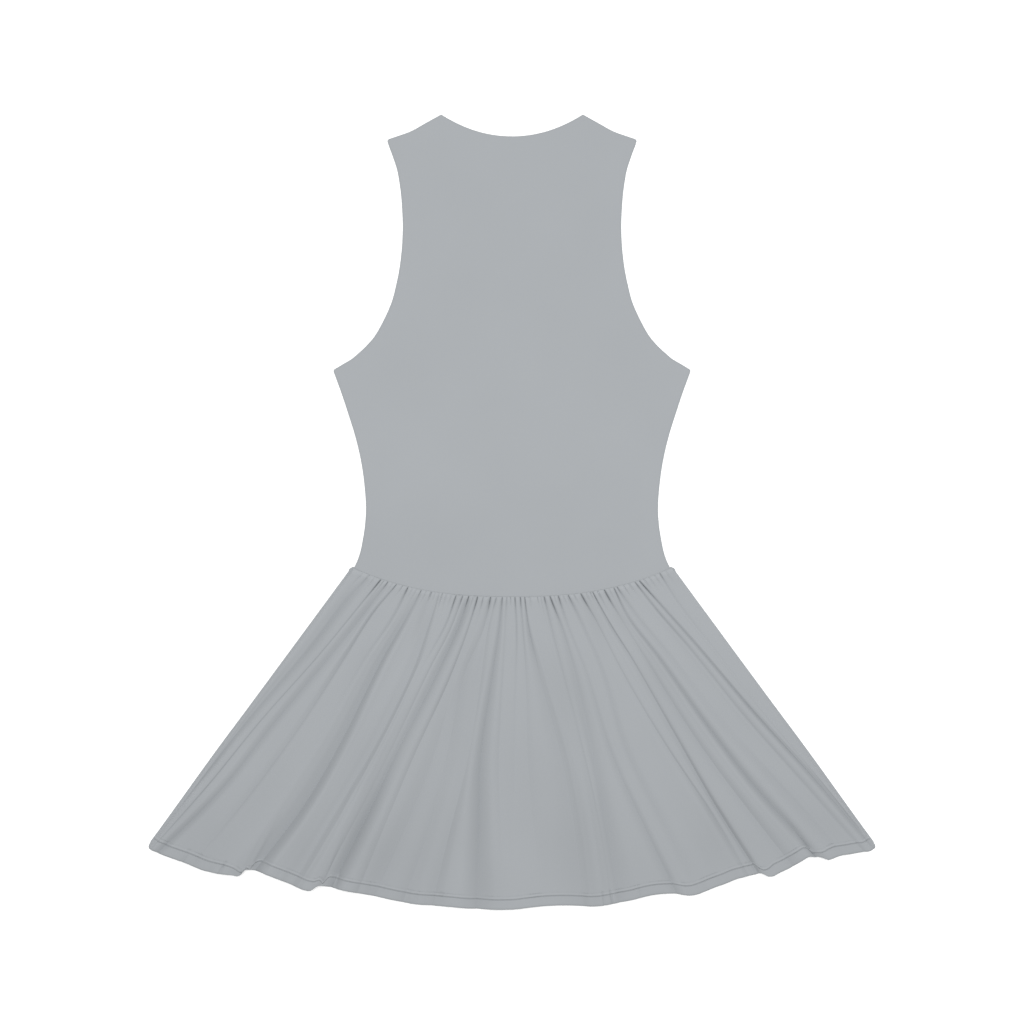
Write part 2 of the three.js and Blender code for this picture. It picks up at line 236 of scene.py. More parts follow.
@dataclass(frozen=True)
class FrontFold:
    """One fold of the front skirt: its share of the seam, of the hem, and its lift at three stations."""

    seam: float
    hem: float
    lift: tuple[float, float, float]


# Shares of the length, from the seam to the hem, at which a long fold is given
STATIONS = (0.0, 0.1, 0.25, 0.5, 0.75, 1.0)

# A row each: share across, steepness, width to the left and right, and the top's share of it
LONG_FOLDS = tuple(
    LongFold(*row)
    for row in (
        ((0.056, 0.041, 0.034, 0.0165, 0.0078, 0.0012), (0.3, 0.66, 0.7, 0.68, 0.95, 0.7), 6, 5, 1.9),
        ((0.092, 0.078, 0.061, 0.0345, 0.0215, 0.006), (0.9, 0.8, 0.7, 0.7, 0.9, 0.6), 2, 2, 1.0),
        ((0.114, 0.101, 0.082, 0.0565, 0.042, 0.016), (0.4, 0.68, 0.68, 0.68, 0.76, 0.8), 7, 8, 1.25),
        ((0.141, 0.118, 0.1095, 0.098, 0.082, 0.062), (0.5, 1.15, 0.8, 0.5, 0.42, 0.1), 9, 5, 0.42),
        ((0.176, 0.172, 0.15, 0.138, 0.119, 0.1), (0.7, 0.65, 0.33, 0.05, 0.0, 0.0), 9, 8, 0.3),
        ((0.218, 0.205, 0.1895, 0.181, 0.1675, 0.143), (0.4, 0.7, 0.86, 0.76, 0.8, 0.74), 34, 16, 0.28),
        ((0.273, 0.272, 0.267, 0.243, 0.217, 0.198), (0.3, 0.6, 0.48, 0.42, 0.4, 0.27), 36, 16, 0.14),
        ((0.3265, 0.316, 0.284, 0.258, 0.236, 0.213), (0.6, 0.7, 0.25, 0.0, 0.0, 0.0), 5, 5, 0.5),
        ((0.347, 0.335, 0.3045, 0.275, 0.253, 0.234), (0.5, 0.45, 0.42, 0.1, 0.1, 0.3), 7, 4, 0.5),
        ((0.366, 0.352, 0.325, 0.287, 0.2675, 0.249), (0.7, 0.86, 0.74, 0.66, 0.94, 0.86), 28, 18, 0.4),
        ((0.3935, 0.3815, 0.3585, 0.3205, 0.3, 0.286), (0.8, 0.52, 0.46, 0.34, 0.2, 0.2), 9, 26, 0.2),
        ((0.411, 0.4, 0.371, 0.354, 0.333, 0.31), (0.3, 0.1, 0.1, 0.3, 0.3, 0.3), 26, 26, 0.3),
        ((0.4335, 0.4225, 0.388, 0.378, 0.368, 0.35), (0.8, 0.4, 0.38, 0.22, 0.3, 0.28), 26, 26, 0.18),
        ((0.452, 0.434, 0.428, 0.419, 0.402, 0.39), (0.28, 0.32, 0.22, 0.2, 0.4, 0.4), 20, 13, 0.25),
        ((0.47, 0.4655, 0.4545, 0.4415, 0.4475, 0.452), (0.8, 0.8, 0.78, 0.76, 0.74, 0.45), 24, 25, 0.1),
        ((0.484, 0.4825, 0.479, 0.475, 0.482, 0.49), (0.4, 0.35, 0.35, 0.25, 0.1, 0.0), 9, 9, 0.4),
        ((0.509, 0.5125, 0.509, 0.505, 0.505, 0.508), (0.7, 0.7, 0.35, 0.15, 0.0, 0.0), 6, 6, 0.3),
        ((0.526, 0.529, 0.532, 0.53, 0.535, 0.545), (0.7, 0.6, 0.33, 0.26, 0.15, 0.0), 16, 16, 0.1),
        ((0.5395, 0.546, 0.5645, 0.592, 0.6, 0.598), (0.6, 0.95, 0.5, 0.4, 0.32, 0.3), 40, 26, 0.02),
        ((0.6, 0.608, 0.62, 0.6365, 0.641, 0.6385), (0.6, 0.55, 0.4, 0.33, 0.12, 0.1), 8, 8, 0.4),
        ((0.618, 0.6365, 0.648, 0.652, 0.65, 0.6485), (1.0, 0.57, 0.42, 0.4, 0.48, 0.32), 26, 26, 0.08),
        ((0.644, 0.6545, 0.674, 0.685, 0.7065, 0.727), (0.7, 0.45, 0.37, 0.45, 0.52, 0.52), 13, 10, 0.25),
        ((0.6745, 0.6945, 0.713, 0.7165, 0.7395, 0.762), (0.7, 0.5, 0.42, 0.38, 0.3, 0.15), 12, 12, 0.3),
        ((0.714, 0.7345, 0.754, 0.7855, 0.8135, 0.829), (0.9, 0.42, 0.4, 0.45, 0.75, 0.3), 10, 5, 0.5),
        ((0.751, 0.766, 0.7905, 0.812, 0.826, 0.842), (0.7, 1.05, 0.62, 0.67, 0.82, 0.66), 18, 7, 0.15),
        ((0.787, 0.8, 0.8195, 0.8425, 0.867, 0.889), (0.9, 0.33, 0.42, 0.47, 0.5, 0.35), 16, 12, 0.2),
        ((0.8175, 0.821, 0.849, 0.876, 0.899, 0.925), (0.6, 0.8, 0.82, 0.92, 0.92, 0.66), 11, 12, 0.2),
        ((0.827, 0.843, 0.8725, 0.9035, 0.934, 0.955), (0.6, 0.43, 0.32, 0.18, 0.34, 0.15), 12, 12, 0.3),
        ((0.883, 0.8985, 0.9225, 0.9445, 0.966, 0.982), (0.5, 0.95, 0.64, 0.57, 0.52, 0.35), 6, 6, 0.4),
        ((0.8965, 0.917, 0.94, 0.963, 0.983, 0.9955), (0.9, 1.0, 0.95, 1.05, 0.85, 0.7), 6, 6, 0.35),
        ((0.96, 0.958, 0.968, 0.98, 0.991, 0.998), (0.5, 0.5, 0.25, 0.0, 0.0, 0.0), 5, 5, 0.4),
    )
)

# Patches of painted shade and painted highlight, for each: share across, share down, half width, half
# length, tone
PAINTED_SHADE_PATCHES = tuple(
    PaintedShadePatch(*row)
    for row in (
        (0.045, 0.25, 0.02, 0.15, -0.03), (0.145, 0.27, 0.02, 0.12, -0.03),
        (0.4, 0.28, 0.05, 0.12, -0.025), (0.61, 0.3, 0.06, 0.15, -0.035),
        (0.83, 0.28, 0.03, 0.12, -0.03), (0.92, 0.2, 0.02, 0.12, -0.02),
        (0.73, 0.1, 0.018, 0.08, -0.035), (0.8, 0.1, 0.015, 0.06, -0.03),
        (0.41, 0.46, 0.03, 0.1, -0.008), (0.2455, 0.09, 0.011, 0.07, -0.05),
        (0.255, 0.72, 0.012, 0.2, -0.02), (0.295, 0.9, 0.025, 0.12, -0.02),
        (0.465, 0.9, 0.015, 0.09, -0.03), (0.1, 0.72, 0.03, 0.12, -0.025),
        (0.07, 0.92, 0.05, 0.16, -0.035), (0.19, 0.88, 0.025, 0.12, -0.03),
        (0.34, 0.84, 0.06, 0.16, -0.035), (0.425, 0.9, 0.015, 0.08, 0.025),
        (0.51, 0.9, 0.04, 0.15, 0.02), (0.59, 0.8, 0.05, 0.2, -0.03),
        (0.81, 0.84, 0.035, 0.12, -0.025), (0.965, 0.9, 0.02, 0.1, -0.025),
    )
)

HEM_TURNS = (
    HemTurn(0.135, -32.0, 10.0),
    HemTurn(0.2365, -13.0, 8.0),
    HemTurn(0.847, 17.0, 5.6),
    HemTurn(0.923, 17.0, 7.5),
)

# Shares of the width at which the hem's band is pinched
HEM_PUCKERS = (0.051, 0.067, 0.0896, 0.102, 0.2547, 0.357, 0.366, 0.402, 0.443, 0.627, 0.638, 0.676)

# For each gather: share of the seam, depth, half width, reach as a share of the length
SHORT_GATHERS = tuple(
    ShortGather(*row)
    for row in (
        (0.009, 1.4, 0.67, 0.104), (0.037, 0.5, 0.82, 0.03), (0.072, 0.5, 0.82, 0.02),
        (0.092, 2.4, 0.67, 0.036), (0.1025, 0.5, 0.82, 0.02), (0.114, 1.9, 0.5, 0.016),
        (0.129, 0.5, 0.82, 0.02), (0.141, 1.9, 0.5, 0.016), (0.159, 2.2, 0.56, 0.016),
        (0.176, 1.9, 0.56, 0.02), (0.19, 0.5, 0.82, 0.02), (0.204, 0.4, 0.82, 0.02),
        (0.218, 1.3, 0.56, 0.016), (0.2335, 0.5, 0.82, 0.04), (0.2495, 2.4, 0.95, 0.022),
        (0.261, 0.5, 0.82, 0.02), (0.283, 1.9, 0.56, 0.032), (0.296, 0.5, 1.02, 0.04),
        (0.311, 0.6, 0.82, 0.03), (0.3265, 1.6, 0.56, 0.036), (0.347, 1.3, 0.56, 0.024),
        (0.366, 2.4, 0.67, 0.024), (0.378, 0.5, 0.82, 0.02), (0.3935, 2.4, 0.67, 0.036),
        (0.411, 0.6, 0.82, 0.03), (0.4335, 2.4, 0.67, 0.0256), (0.452, 0.5, 0.82, 0.03),
        (0.47, 1.4, 0.56, 0.016), (0.484, 0.5, 0.82, 0.02), (0.4955, 2.4, 0.56, 0.016),
        (0.509, 2.0, 0.56, 0.016), (0.526, 2.0, 0.56, 0.0176), (0.5395, 1.4, 0.56, 0.04),
        (0.555, 0.5, 0.82, 0.03), (0.579, 1.6, 0.56, 0.016), (0.5895, 0.5, 1.02, 0.1),
        (0.6, 2.2, 0.56, 0.016), (0.618, 2.6, 0.78, 0.0416), (0.631, 0.5, 0.82, 0.02),
        (0.644, 1.4, 0.56, 0.0224), (0.659, 0.5, 0.82, 0.03), (0.6745, 1.4, 0.56, 0.016),
        (0.6925, 1.3, 0.56, 0.016), (0.714, 2.4, 0.67, 0.036), (0.731, 0.5, 0.82, 0.02),
        (0.7435, 1.6, 0.56, 0.016), (0.751, 1.4, 0.56, 0.04), (0.766, 1.0, 0.82, 0.06),
        (0.787, 2.4, 0.78, 0.04), (0.802, 0.5, 0.82, 0.03), (0.8175, 1.3, 0.56, 0.04),
        (0.827, 1.4, 0.56, 0.016), (0.847, 0.5, 0.82, 0.03), (0.864, 0.5, 0.82, 0.03),
        (0.883, 1.3, 0.56, 0.024), (0.8965, 2.4, 0.78, 0.048), (0.91, 0.7, 0.82, 0.03),
        (0.927, 0.5, 0.82, 0.03), (0.944, 0.5, 0.82, 0.03), (0.96, 1.3, 0.56, 0.016),
        (0.977, 0.5, 1.02, 0.04),
    )
)

# For each fold: share of the seam, share of the hem, lift
FRONT_FOLDS = tuple(
    FrontFold(*row)
    for row in (
        (0.075, 0.052, (0.5, 1.1, 0.9)), (0.118, 0.094, (0.4, 0.6, 0.0)), (0.157, 0.147, (0.5, 1.5, 1.5)),
        (0.204, 0.201, (0.5, 0.9, 1.2)), (0.246, 0.232, (0.4, 0.5, 0.0)), (0.291, 0.282, (0.5, 1.4, 1.5)),
        (0.332, 0.318, (0.5, 0.7, 0.5)), (0.374, 0.371, (0.4, 1.2, 1.4)), (0.421, 0.404, (0.5, 0.6, 0.0)),
        (0.463, 0.449, (0.5, 1.5, 1.3)), (0.507, 0.498, (0.4, 0.8, 0.6)), (0.548, 0.556, (0.5, 1.3, 1.5)),
        (0.59, 0.601, (0.5, 0.6, 0.0)), (0.631, 0.634, (0.4, 1.0, 1.2)), (0.676, 0.69, (0.5, 1.5, 1.5)),
        (0.714, 0.731, (0.4, 0.5, 0.3)), (0.757, 0.768, (0.5, 1.2, 1.4)), (0.801, 0.816, (0.5, 0.9, 0.6)),
        (0.839, 0.859, (0.4, 1.4, 1.5)), (0.884, 0.903, (0.5, 0.7, 0.4)), (0.926, 0.947, (0.5, 1.1, 1.0)),
    )
)

# The hem's waves: a share of the width, and how far the edge drops there below its plain curve
HEM_WAVES = (
    (0.0, 0.0), (0.0097, 1.2), (0.018, 1.8), (0.051, 2.6), (0.0755, 4.2), (0.092, 3.9),
    (0.1, 3.4), (0.117, 1.6), (0.125, 1.4), (0.1295, -1.0), (0.1325, -4.5), (0.135, -6.4),
    (0.141, -7.3), (0.149, -7.9), (0.158, -8.0), (0.1825, -4.9), (0.207, -1.2), (0.217, -0.1),
    (0.224, -0.3), (0.2275, -1.6), (0.231, -4.6), (0.2355, -6.6), (0.24, -7.1), (0.251, -7.2),
    (0.279, -6.4), (0.306, -5.1), (0.333, -3.3), (0.361, -1.1), (0.416, -1.1), (0.443, 0.0),
    (0.5, 0.0), (0.525, -2.0), (0.553, -3.6), (0.58, -2.6), (0.608, 0.0), (0.635, -0.6),
    (0.662, -2.6), (0.69, -5.5), (0.717, -4.4), (0.745, 1.1), (0.7585, 0.7), (0.775, -2.2),
    (0.7915, -4.4), (0.808, -7.0), (0.824, -7.4), (0.833, -7.2), (0.842, -6.8), (0.849, -3.0),
    (0.857, -1.4), (0.8655, -3.1), (0.882, -5.4), (0.8985, -9.4), (0.907, -11.0), (0.915, -8.8),
    (0.923, -7.2), (0.931, -3.0), (0.948, -3.3), (0.964, -1.7), (0.981, 0.0), (0.989, 1.1),
    (1.0, 0.0),
)

# The bodice's side from the waist seam to the shoulder tip: a height, and half the width there
BODICE_SIDE = (
    (-64.8, 176.0), (-61.4, 174.2), (-54.7, 170.8), (-43.7, 167.0), (-30.0, 164.2), (-14.0, 161.8),
    (6.0, 160.7), (35.0, 162.9), (60.0, 166.8), (85.0, 172.8), (112.5, 181.4), (131.5, 187.7),
    (143.5, 192.1), (151.0, 194.8), (154.5, 196.1), (156.3, 196.4), (158.0, 195.0), (159.6, 192.2),
    (164.8, 183.6), (168.1, 177.6), (174.6, 169.8), (179.4, 164.4), (187.0, 157.0), (193.0, 152.0),
    (200.5, 147.2), (217.0, 138.6), (233.0, 132.0), (250.0, 127.6), (266.0, 124.3), (283.0, 122.0),
    (299.0, 120.7), (316.0, 120.2), (332.0, 120.8), (349.0, 122.0), (365.0, 124.1), (378.0, 126.6),
    (394.0, 131.9), (404.5, 135.8), (409.0, 137.2),
)


@dataclass(frozen=True)
class Neckline:
    """A neckline between the neck points: its drop, the bend of its curve and how round its bottom is."""

    drop: float
    bend: float
    rounding: float


@dataclass(frozen=True)
class Outline:
    """The outline of the dress as it lies: neck, shoulders, sides, waist seam and hem.

    Places with a share, such as flare_until, wave_start and band_start, are shares of the skirt's length.
    """

    neck_x: float = 77.7
    shoulder: tuple[tuple[float, float], ...] = (
        (77.7, 438.0), (94.6, 428.6), (110.4, 419.8), (122.7, 415.2), (136.7, 410.6),
    )
    tip_x: float = 136.7
    tip_round: float = 1.8
    tip_drop: float = 1.6
    seam_low: float = -92.4
    seam_rise: float = 32.2
    seam_power: float = 2.5
    seam_gap: float = 0.02
    seam_rounds: int = 5
    skirt_top_half: float = 176.0
    hem_half: float = 401.5
    side_flare: float = 2.5
    flare_power: float = 28.0
    flare_until: float = 0.6
    top_corner: float = 3.4
    hem_low: float = -436.0
    hem_rise: float = 68.0
    wave_start: float = 0.5
    wave_full: float = 0.9
    corner: float = 3.6
    band_start: float = 0.968
    turn_soft: float = 2.6

    def seam_height(self, x: np.ndarray) -> np.ndarray:
        """Height of the waist seam, which rises as a power of the distance from the middle."""
        return self.seam_low + self.seam_rise * (np.abs(x) / self.skirt_top_half) ** self.seam_power

    def bodice_top(self, share: np.ndarray, neck: Neckline) -> np.ndarray:
        """The top edge: the neckline's curve, then a smooth curve along the shoulder to its round tip.

        Args:
            share: Share of the half width, from -1 to 1.
            neck: The neckline.

        Returns:
            The height of the edge at each share.
        """
        x = np.abs(share) * self.tip_x
        inside = np.clip(x / self.neck_x, 0.0, 1.0)
        places, heights = np.array(self.shoulder).T
        curve = heights[0] - neck.drop * (1.0 - inside**neck.bend) ** neck.rounding
        line = smooth_through(places, heights, np.maximum(x, self.neck_x))[0]
        tip = np.clip((x - self.tip_x + self.tip_round) / self.tip_round, 0.0, 1.0)
        return np.where(x < self.neck_x, curve, line - self.tip_drop * tip**2)

    def bodice_half(self, y: np.ndarray) -> np.ndarray:
        """Half the bodice's width at a height, by a smooth curve through the side's table.

        Args:
            y: Heights.

        Returns:
            The half widths.
        """
        heights, halves = np.array(BODICE_SIDE).T
        within = np.clip(y, heights[0], heights[-1])
        return smooth_through(heights, halves, within.ravel())[0].reshape(np.shape(y))

    def bodice_bottom(self, share: np.ndarray) -> np.ndarray:
        """The bottom edge: where a share of the bodice's width, which changes with height, meets the seam.

        Args:
            share: Share of the half width, from -1 to 1.

        Returns:
            The height of the edge at each share, found in a few rounds.
        """
        y = self.seam_height(share * self.skirt_top_half)
        for _ in range(self.seam_rounds):
            y = self.seam_height(share * self.bodice_half(y))
        return y

    def skirt_half(self, down: np.ndarray) -> np.ndarray:
        """Half the skirt's width at a share of the way from the seam to the hem."""
        return self.skirt_top_half + (self.hem_half - self.skirt_top_half) * down

    def skirt_plan(
        self, across: np.ndarray, down: np.ndarray, side_inset: float, hem_inset: float
    ) -> tuple[np.ndarray, np.ndarray]:
        """Places on the skirt: straight lines fan from the seam's curve to the hem's curve.

        The hem's waves lengthen or shorten each line, which keeps its direction. The sides stand out a
        little at the top, and where a lobe of the hem rolls under, its stitched band narrows.

        Args:
            across: Shares of the width.
            down: Shares of the length.
            side_inset: How far the sides are drawn in.
            hem_inset: How far the hem is drawn up.

        Returns:
            The X and the Y of each place.
        """
        side = 2.0 * across - 1.0
        top_x = side * (self.skirt_top_half - side_inset)
        hem_x = side * (self.hem_half - side_inset)
        in_from_top_corner = (1.0 - np.abs(side)) * self.skirt_top_half
        flare = self.side_flare * np.abs(side) ** self.flare_power
        flared = np.minimum(np.abs(top_x) + flare, self.skirt_top_half)
        top_y = self.seam_height(flared) - self.seam_gap - edge_roll(in_from_top_corner, self.top_corner)
        hem_y = self.hem_low + self.hem_rise * side**2 + hem_inset
        in_from_corner = (1.0 - np.abs(side)) * self.hem_half
        above = np.clip((1.0 - down) / (1.0 - self.band_start), 0.0, 1.0)
        grown = ease((down - self.wave_start) / (self.wave_full - self.wave_start))
        drop = (self.hem_wave(across) + self.rolled_under(across) * above) * grown
        drop = drop - edge_roll(in_from_corner, self.corner) * (1.0 - above)
        reach = down + drop / (top_y - hem_y)
        out = flare * np.sign(side) * (1.0 - ease((reach - self.flare_until) / (1.0 - self.flare_until)))
        return top_x + (hem_x - top_x) * reach + out, top_y + (hem_y - top_y) * reach

    def rolled_under(self, across: np.ndarray) -> np.ndarray:
        """How much of the stitched band has rolled under at the ends of the hem's lobes.

        Args:
            across: Shares of the width.

        Returns:
            The hidden width: it fades as a square along each lobe and as a short bell beyond it.
        """
        hidden = np.zeros_like(across)
        for turn in HEM_TURNS:
            inward = (across - turn.across) * 2.0 * self.hem_half / turn.over
            on_lobe = np.clip(1.0 - inward, 0.0, 1.0) ** 2
            beyond = np.exp(-((inward * turn.over / self.turn_soft) ** 2))
            hidden = hidden + turn.lost * np.where(inward < 0.0, beyond, on_lobe)
        return hidden

    def hem_wave(self, across: np.ndarray) -> np.ndarray:
        """How far the hem edge drops at shares of the width, by a smooth curve through the wave table.

        The table's shares are read on the hem's plain curve, so each is first carried along its fan line.

        Args:
            across: Shares of the width.

        Returns:
            The drop at each share.
        """
        shares, drops = np.array(HEM_WAVES).T
        side = 2.0 * shares - 1.0
        length = self.seam_height(side * self.skirt_top_half) - self.hem_low - self.hem_rise * side**2
        flare = (self.hem_half - self.skirt_top_half) / self.hem_half
        carried = 0.5 + 0.5 * side / (1.0 + flare * drops / length)
        return smooth_through(carried, drops, across.ravel())[0].reshape(across.shape)


@dataclass(frozen=True)
class ClothMesh:
    """Builds closed shells of cloth between an upper and a lower grid of points."""

    name: str
    thickness: float
    creases: tuple[int, ...] = ()

    def lower_face(self, upper: np.ndarray) -> np.ndarray:
        """The lower face: the upper one moved in along its normals by the cloth's thickness."""
        return upper - normals_of(upper) * self.thickness

    def build(
        self, upper: np.ndarray, lower: np.ndarray, chart: np.ndarray, tone: np.ndarray
    ) -> bpy.types.Object:
        """Joins both grids round their rims into one closed mesh with a cloth chart for its weave.

        Args:
            upper: Upper points, rows by columns by 3, in millimetres.
            lower: Lower points, in the same order.
            chart: Place on the flat cloth of each point, rows by columns by 2, in metres.
            tone: Painted shade and highlight: how much lighter or darker the cloth is painted at each
                point.

        Returns:
            The object, at the origin.
        """
        rows, columns = upper.shape[:2]
        index = np.arange(rows * columns).reshape(rows, columns)
        below = index + index.size
        a, b, c, d = index[:-1, :-1], index[1:, :-1], index[1:, 1:], index[:-1, 1:]
        quads = [
            np.stack((a, b, c, d), -1).reshape(-1, 4),
            np.stack((a, d, c, b), -1).reshape(-1, 4) + index.size,
            np.stack((index[:-1, 0], below[:-1, 0], below[1:, 0], index[1:, 0]), -1),
            np.stack((index[:-1, -1], index[1:, -1], below[1:, -1], below[:-1, -1]), -1),
            np.stack((index[0, :-1], index[0, 1:], below[0, 1:], below[0, :-1]), -1),
            np.stack((index[-1, :-1], below[-1, :-1], below[-1, 1:], index[-1, 1:]), -1),
        ]
        faces = np.concatenate(quads)
        points = np.concatenate((upper.reshape(-1, 3), lower.reshape(-1, 3))) * MM
        charts = np.concatenate((chart.reshape(-1, 2), chart.reshape(-1, 2)))
        piece = mesh_object(self.name, points, faces, charts)
        painted_shade_down = piece.data.attributes.new("tone", "FLOAT", "POINT")
        painted_shade_down.data.foreach_set("value", np.tile(tone.ravel(), 2).astype(np.float32))
        self.sharpen(piece.data, columns)
        return piece

    def sharpen(self, mesh: bpy.types.Mesh, columns: int) -> None:
        """Marks the edges that run down the creased columns as sharp, so that a crease stays a line.

        Args:
            mesh: The cloth's mesh.
            columns: How many columns its grids have.
        """
        ends = np.empty(2 * len(mesh.edges), dtype=np.int64)
        mesh.edges.foreach_get("vertices", ends)
        ends = ends.reshape(-1, 2)
        along = np.abs(ends[:, 0] - ends[:, 1]) == columns
        sharp = along & np.isin(ends[:, 0] % columns, self.creases)
        mesh.attributes.new("sharp_edge", "BOOLEAN", "EDGE").data.foreach_set("value", sharp)


def mesh_object(name: str, points: np.ndarray, faces: np.ndarray, chart: np.ndarray) -> bpy.types.Object:
    """Puts points, four-sided faces and their chart into a new smooth-shaded object.

    Args:
        name: The object's name.
        points: Points in metres, count by 3.
        faces: Corner numbers, count by 4.
        chart: Place on the flat cloth of each point, count by 2.

    Returns:
        The object, linked to the scene.
    """
    mesh = bpy.data.meshes.new(name)
    mesh.from_pydata(points, [], faces)
    layer = mesh.uv_layers.new(name="cloth")
    layer.data.foreach_set("uv", chart[faces.ravel()].astype(np.float32).ravel())
    mesh.polygons.foreach_set("use_smooth", np.ones(len(faces), dtype=bool))
    mesh.update()
    piece = bpy.data.objects.new(name, mesh)
    bpy.context.collection.objects.link(piece)
    return piece


class NodeGroup:
    """A shader node group with named inputs and outputs, built once."""

    def __init__(self, name: str) -> None:
        """Starts an empty group."""
        self.tree = bpy.data.node_groups.new(name, "ShaderNodeTree")
        self.inside = self.tree.nodes.new("NodeGroupInput")
        self.outside = self.tree.nodes.new("NodeGroupOutput")

    def socket(self, name: str, kind: str, output: bool = False) -> None:
        """Adds a named socket to the group; a float input is 0 until it is set.

        Args:
            name: The socket's name.
            kind: Float, Vector or Color.
            output: Whether it is an output.
        """
        way = "OUTPUT" if output else "INPUT"
        self.tree.interface.new_socket(name=name, in_out=way, socket_type=f"NodeSocket{kind}")

    def node(self, kind: str, **settings: object) -> bpy.types.Node:
        """Adds a node and sets its own settings."""
        made = self.tree.nodes.new(kind)
        for key, value in settings.items():
            setattr(made, key, value)
        return made

    def math(self, operation: str, first: object, second: object = 0.0) -> bpy.types.NodeSocket:
        """Adds a math node.

        Args:
            operation: The node's operation.
            first: A socket or a number.
            second: A socket or a number.

        Returns:
            The node's output socket.
        """
        made = self.node("ShaderNodeMath", operation=operation)
        for socket, value in zip(made.inputs, (first, second)):
            self.feed(value, socket)
        return made.outputs[0]

    def scaled(self, value: bpy.types.NodeSocket, by: float, plus: float) -> bpy.types.NodeSocket:
        """Adds a node that multiplies a socket by one number and adds another."""
        made = self.math("MULTIPLY_ADD", value, by)
        made.node.inputs[2].default_value = plus
        return made

    def feed(self, value: object, socket: bpy.types.NodeSocket) -> None:
        """Links a socket to an input, or sets the input to a number."""
        if isinstance(value, bpy.types.NodeSocket):
            self.tree.links.new(value, socket)
        else:
            socket.default_value = value


# The jersey stitch: how high the loops stand in the middle and how far they swing, as shares of a rib
LOOP_MIDDLE = 0.75
LOOP_SWING = 0.25

# The uneven dye: clouds and stray fibres for each metre, their detail, and the roughness they leave
CLOUD_SCALE = 9.0
CLOUD_DETAIL = 2.0
FIBRE_SCALE = 900.0
FIBRE_DETAIL = 3.0
ROUGH_LEAST = 0.84
ROUGH_MORE = 0.12


def knit_group() -> bpy.types.NodeTree:
    """Plain jersey: rows of small V stitches, as a height and as a shade between the stitches.

    The height is the rounded rib of a wale, one half wave across, times a course wave that slants to each
    side of the wale's middle, so that each stitch is a V.

    Returns:
        The node group, with inputs Place, Wale, Course and outputs Height and Gap.
    """
    group = NodeGroup("jersey_knit")
    group.socket("Place", "Vector")
    group.socket("Wale", "Float")
    group.socket("Course", "Float")
    group.socket("Height", "Float", output=True)
    group.socket("Gap", "Float", output=True)
    split = group.node("ShaderNodeSeparateXYZ")
    group.tree.links.new(group.inside.outputs["Place"], split.inputs[0])
    wale = group.math("DIVIDE", split.outputs["X"], group.inside.outputs["Wale"])
    rib = group.math("ABSOLUTE", group.math("SINE", group.math("MULTIPLY", wale, math.pi)))
    from_middle = group.math("ABSOLUTE", group.math("SUBTRACT", group.math("FRACT", wale), 0.5))
    course = group.math("DIVIDE", split.outputs["Y"], group.inside.outputs["Course"])
    slanted = group.math("ADD", course, from_middle)
    loop = group.math("SINE", group.math("MULTIPLY", slanted, 2.0 * math.pi))
    height = group.math("MULTIPLY", rib, group.scaled(loop, LOOP_SWING, LOOP_MIDDLE))
    gap = group.math("SUBTRACT", 1.0, height)
    group.tree.links.new(height, group.outside.inputs["Height"])
    group.tree.links.new(gap, group.outside.inputs["Gap"])
    return group.tree


def shade_group() -> bpy.types.NodeTree:
    """Uneven dye and stray fibres from two noises, with painted shade: the cloth's colour made lighter and
    darker.

    Returns:
        The node group, with inputs Cloth, Place, Amount, Gap, Depth and Tone, outputs Colour and Rough.
    """
    group = NodeGroup("uneven_dye_and_painted_shade")
    group.socket("Cloth", "Color")
    group.socket("Place", "Vector")
    for name in ("Amount", "Gap", "Depth", "Tone"):
        group.socket(name, "Float")
    group.socket("Colour", "Color", output=True)
    group.socket("Rough", "Float", output=True)
    place = group.inside.outputs["Place"]
    clouds = group.node("ShaderNodeTexNoise")
    fibres = group.node("ShaderNodeTexNoise")
    sizes = ((clouds, CLOUD_SCALE, CLOUD_DETAIL), (fibres, FIBRE_SCALE, FIBRE_DETAIL))
    for noise, scale, detail in sizes:
        noise.inputs["Scale"].default_value = scale
        noise.inputs["Detail"].default_value = detail
        group.tree.links.new(place, noise.inputs["Vector"])
    both = group.math("ADD", clouds.outputs["Fac"], fibres.outputs["Fac"])
    around = group.math("SUBTRACT", both, 1.0)
    lighter = group.math("MULTIPLY", around, group.inside.outputs["Amount"])
    # Painted shade between the stitches: the gaps darken the colour by Depth
    darker = group.math("MULTIPLY", group.inside.outputs["Gap"], group.inside.outputs["Depth"])
    # Tone is painted shade and painted highlight laid on the colour
    toned = group.math("ADD", group.math("ADD", 1.0, group.inside.outputs["Tone"]), lighter)
    factor = group.math("SUBTRACT", toned, darker)
    scaled = group.node("ShaderNodeVectorMath", operation="SCALE")
    group.tree.links.new(group.inside.outputs["Cloth"], scaled.inputs[0])
    group.tree.links.new(factor, scaled.inputs["Scale"])
    rough = group.scaled(fibres.outputs["Fac"], ROUGH_MORE, ROUGH_LEAST)
    group.tree.links.new(scaled.outputs[0], group.outside.inputs["Colour"])
    group.tree.links.new(rough, group.outside.inputs["Rough"])
    return group.tree


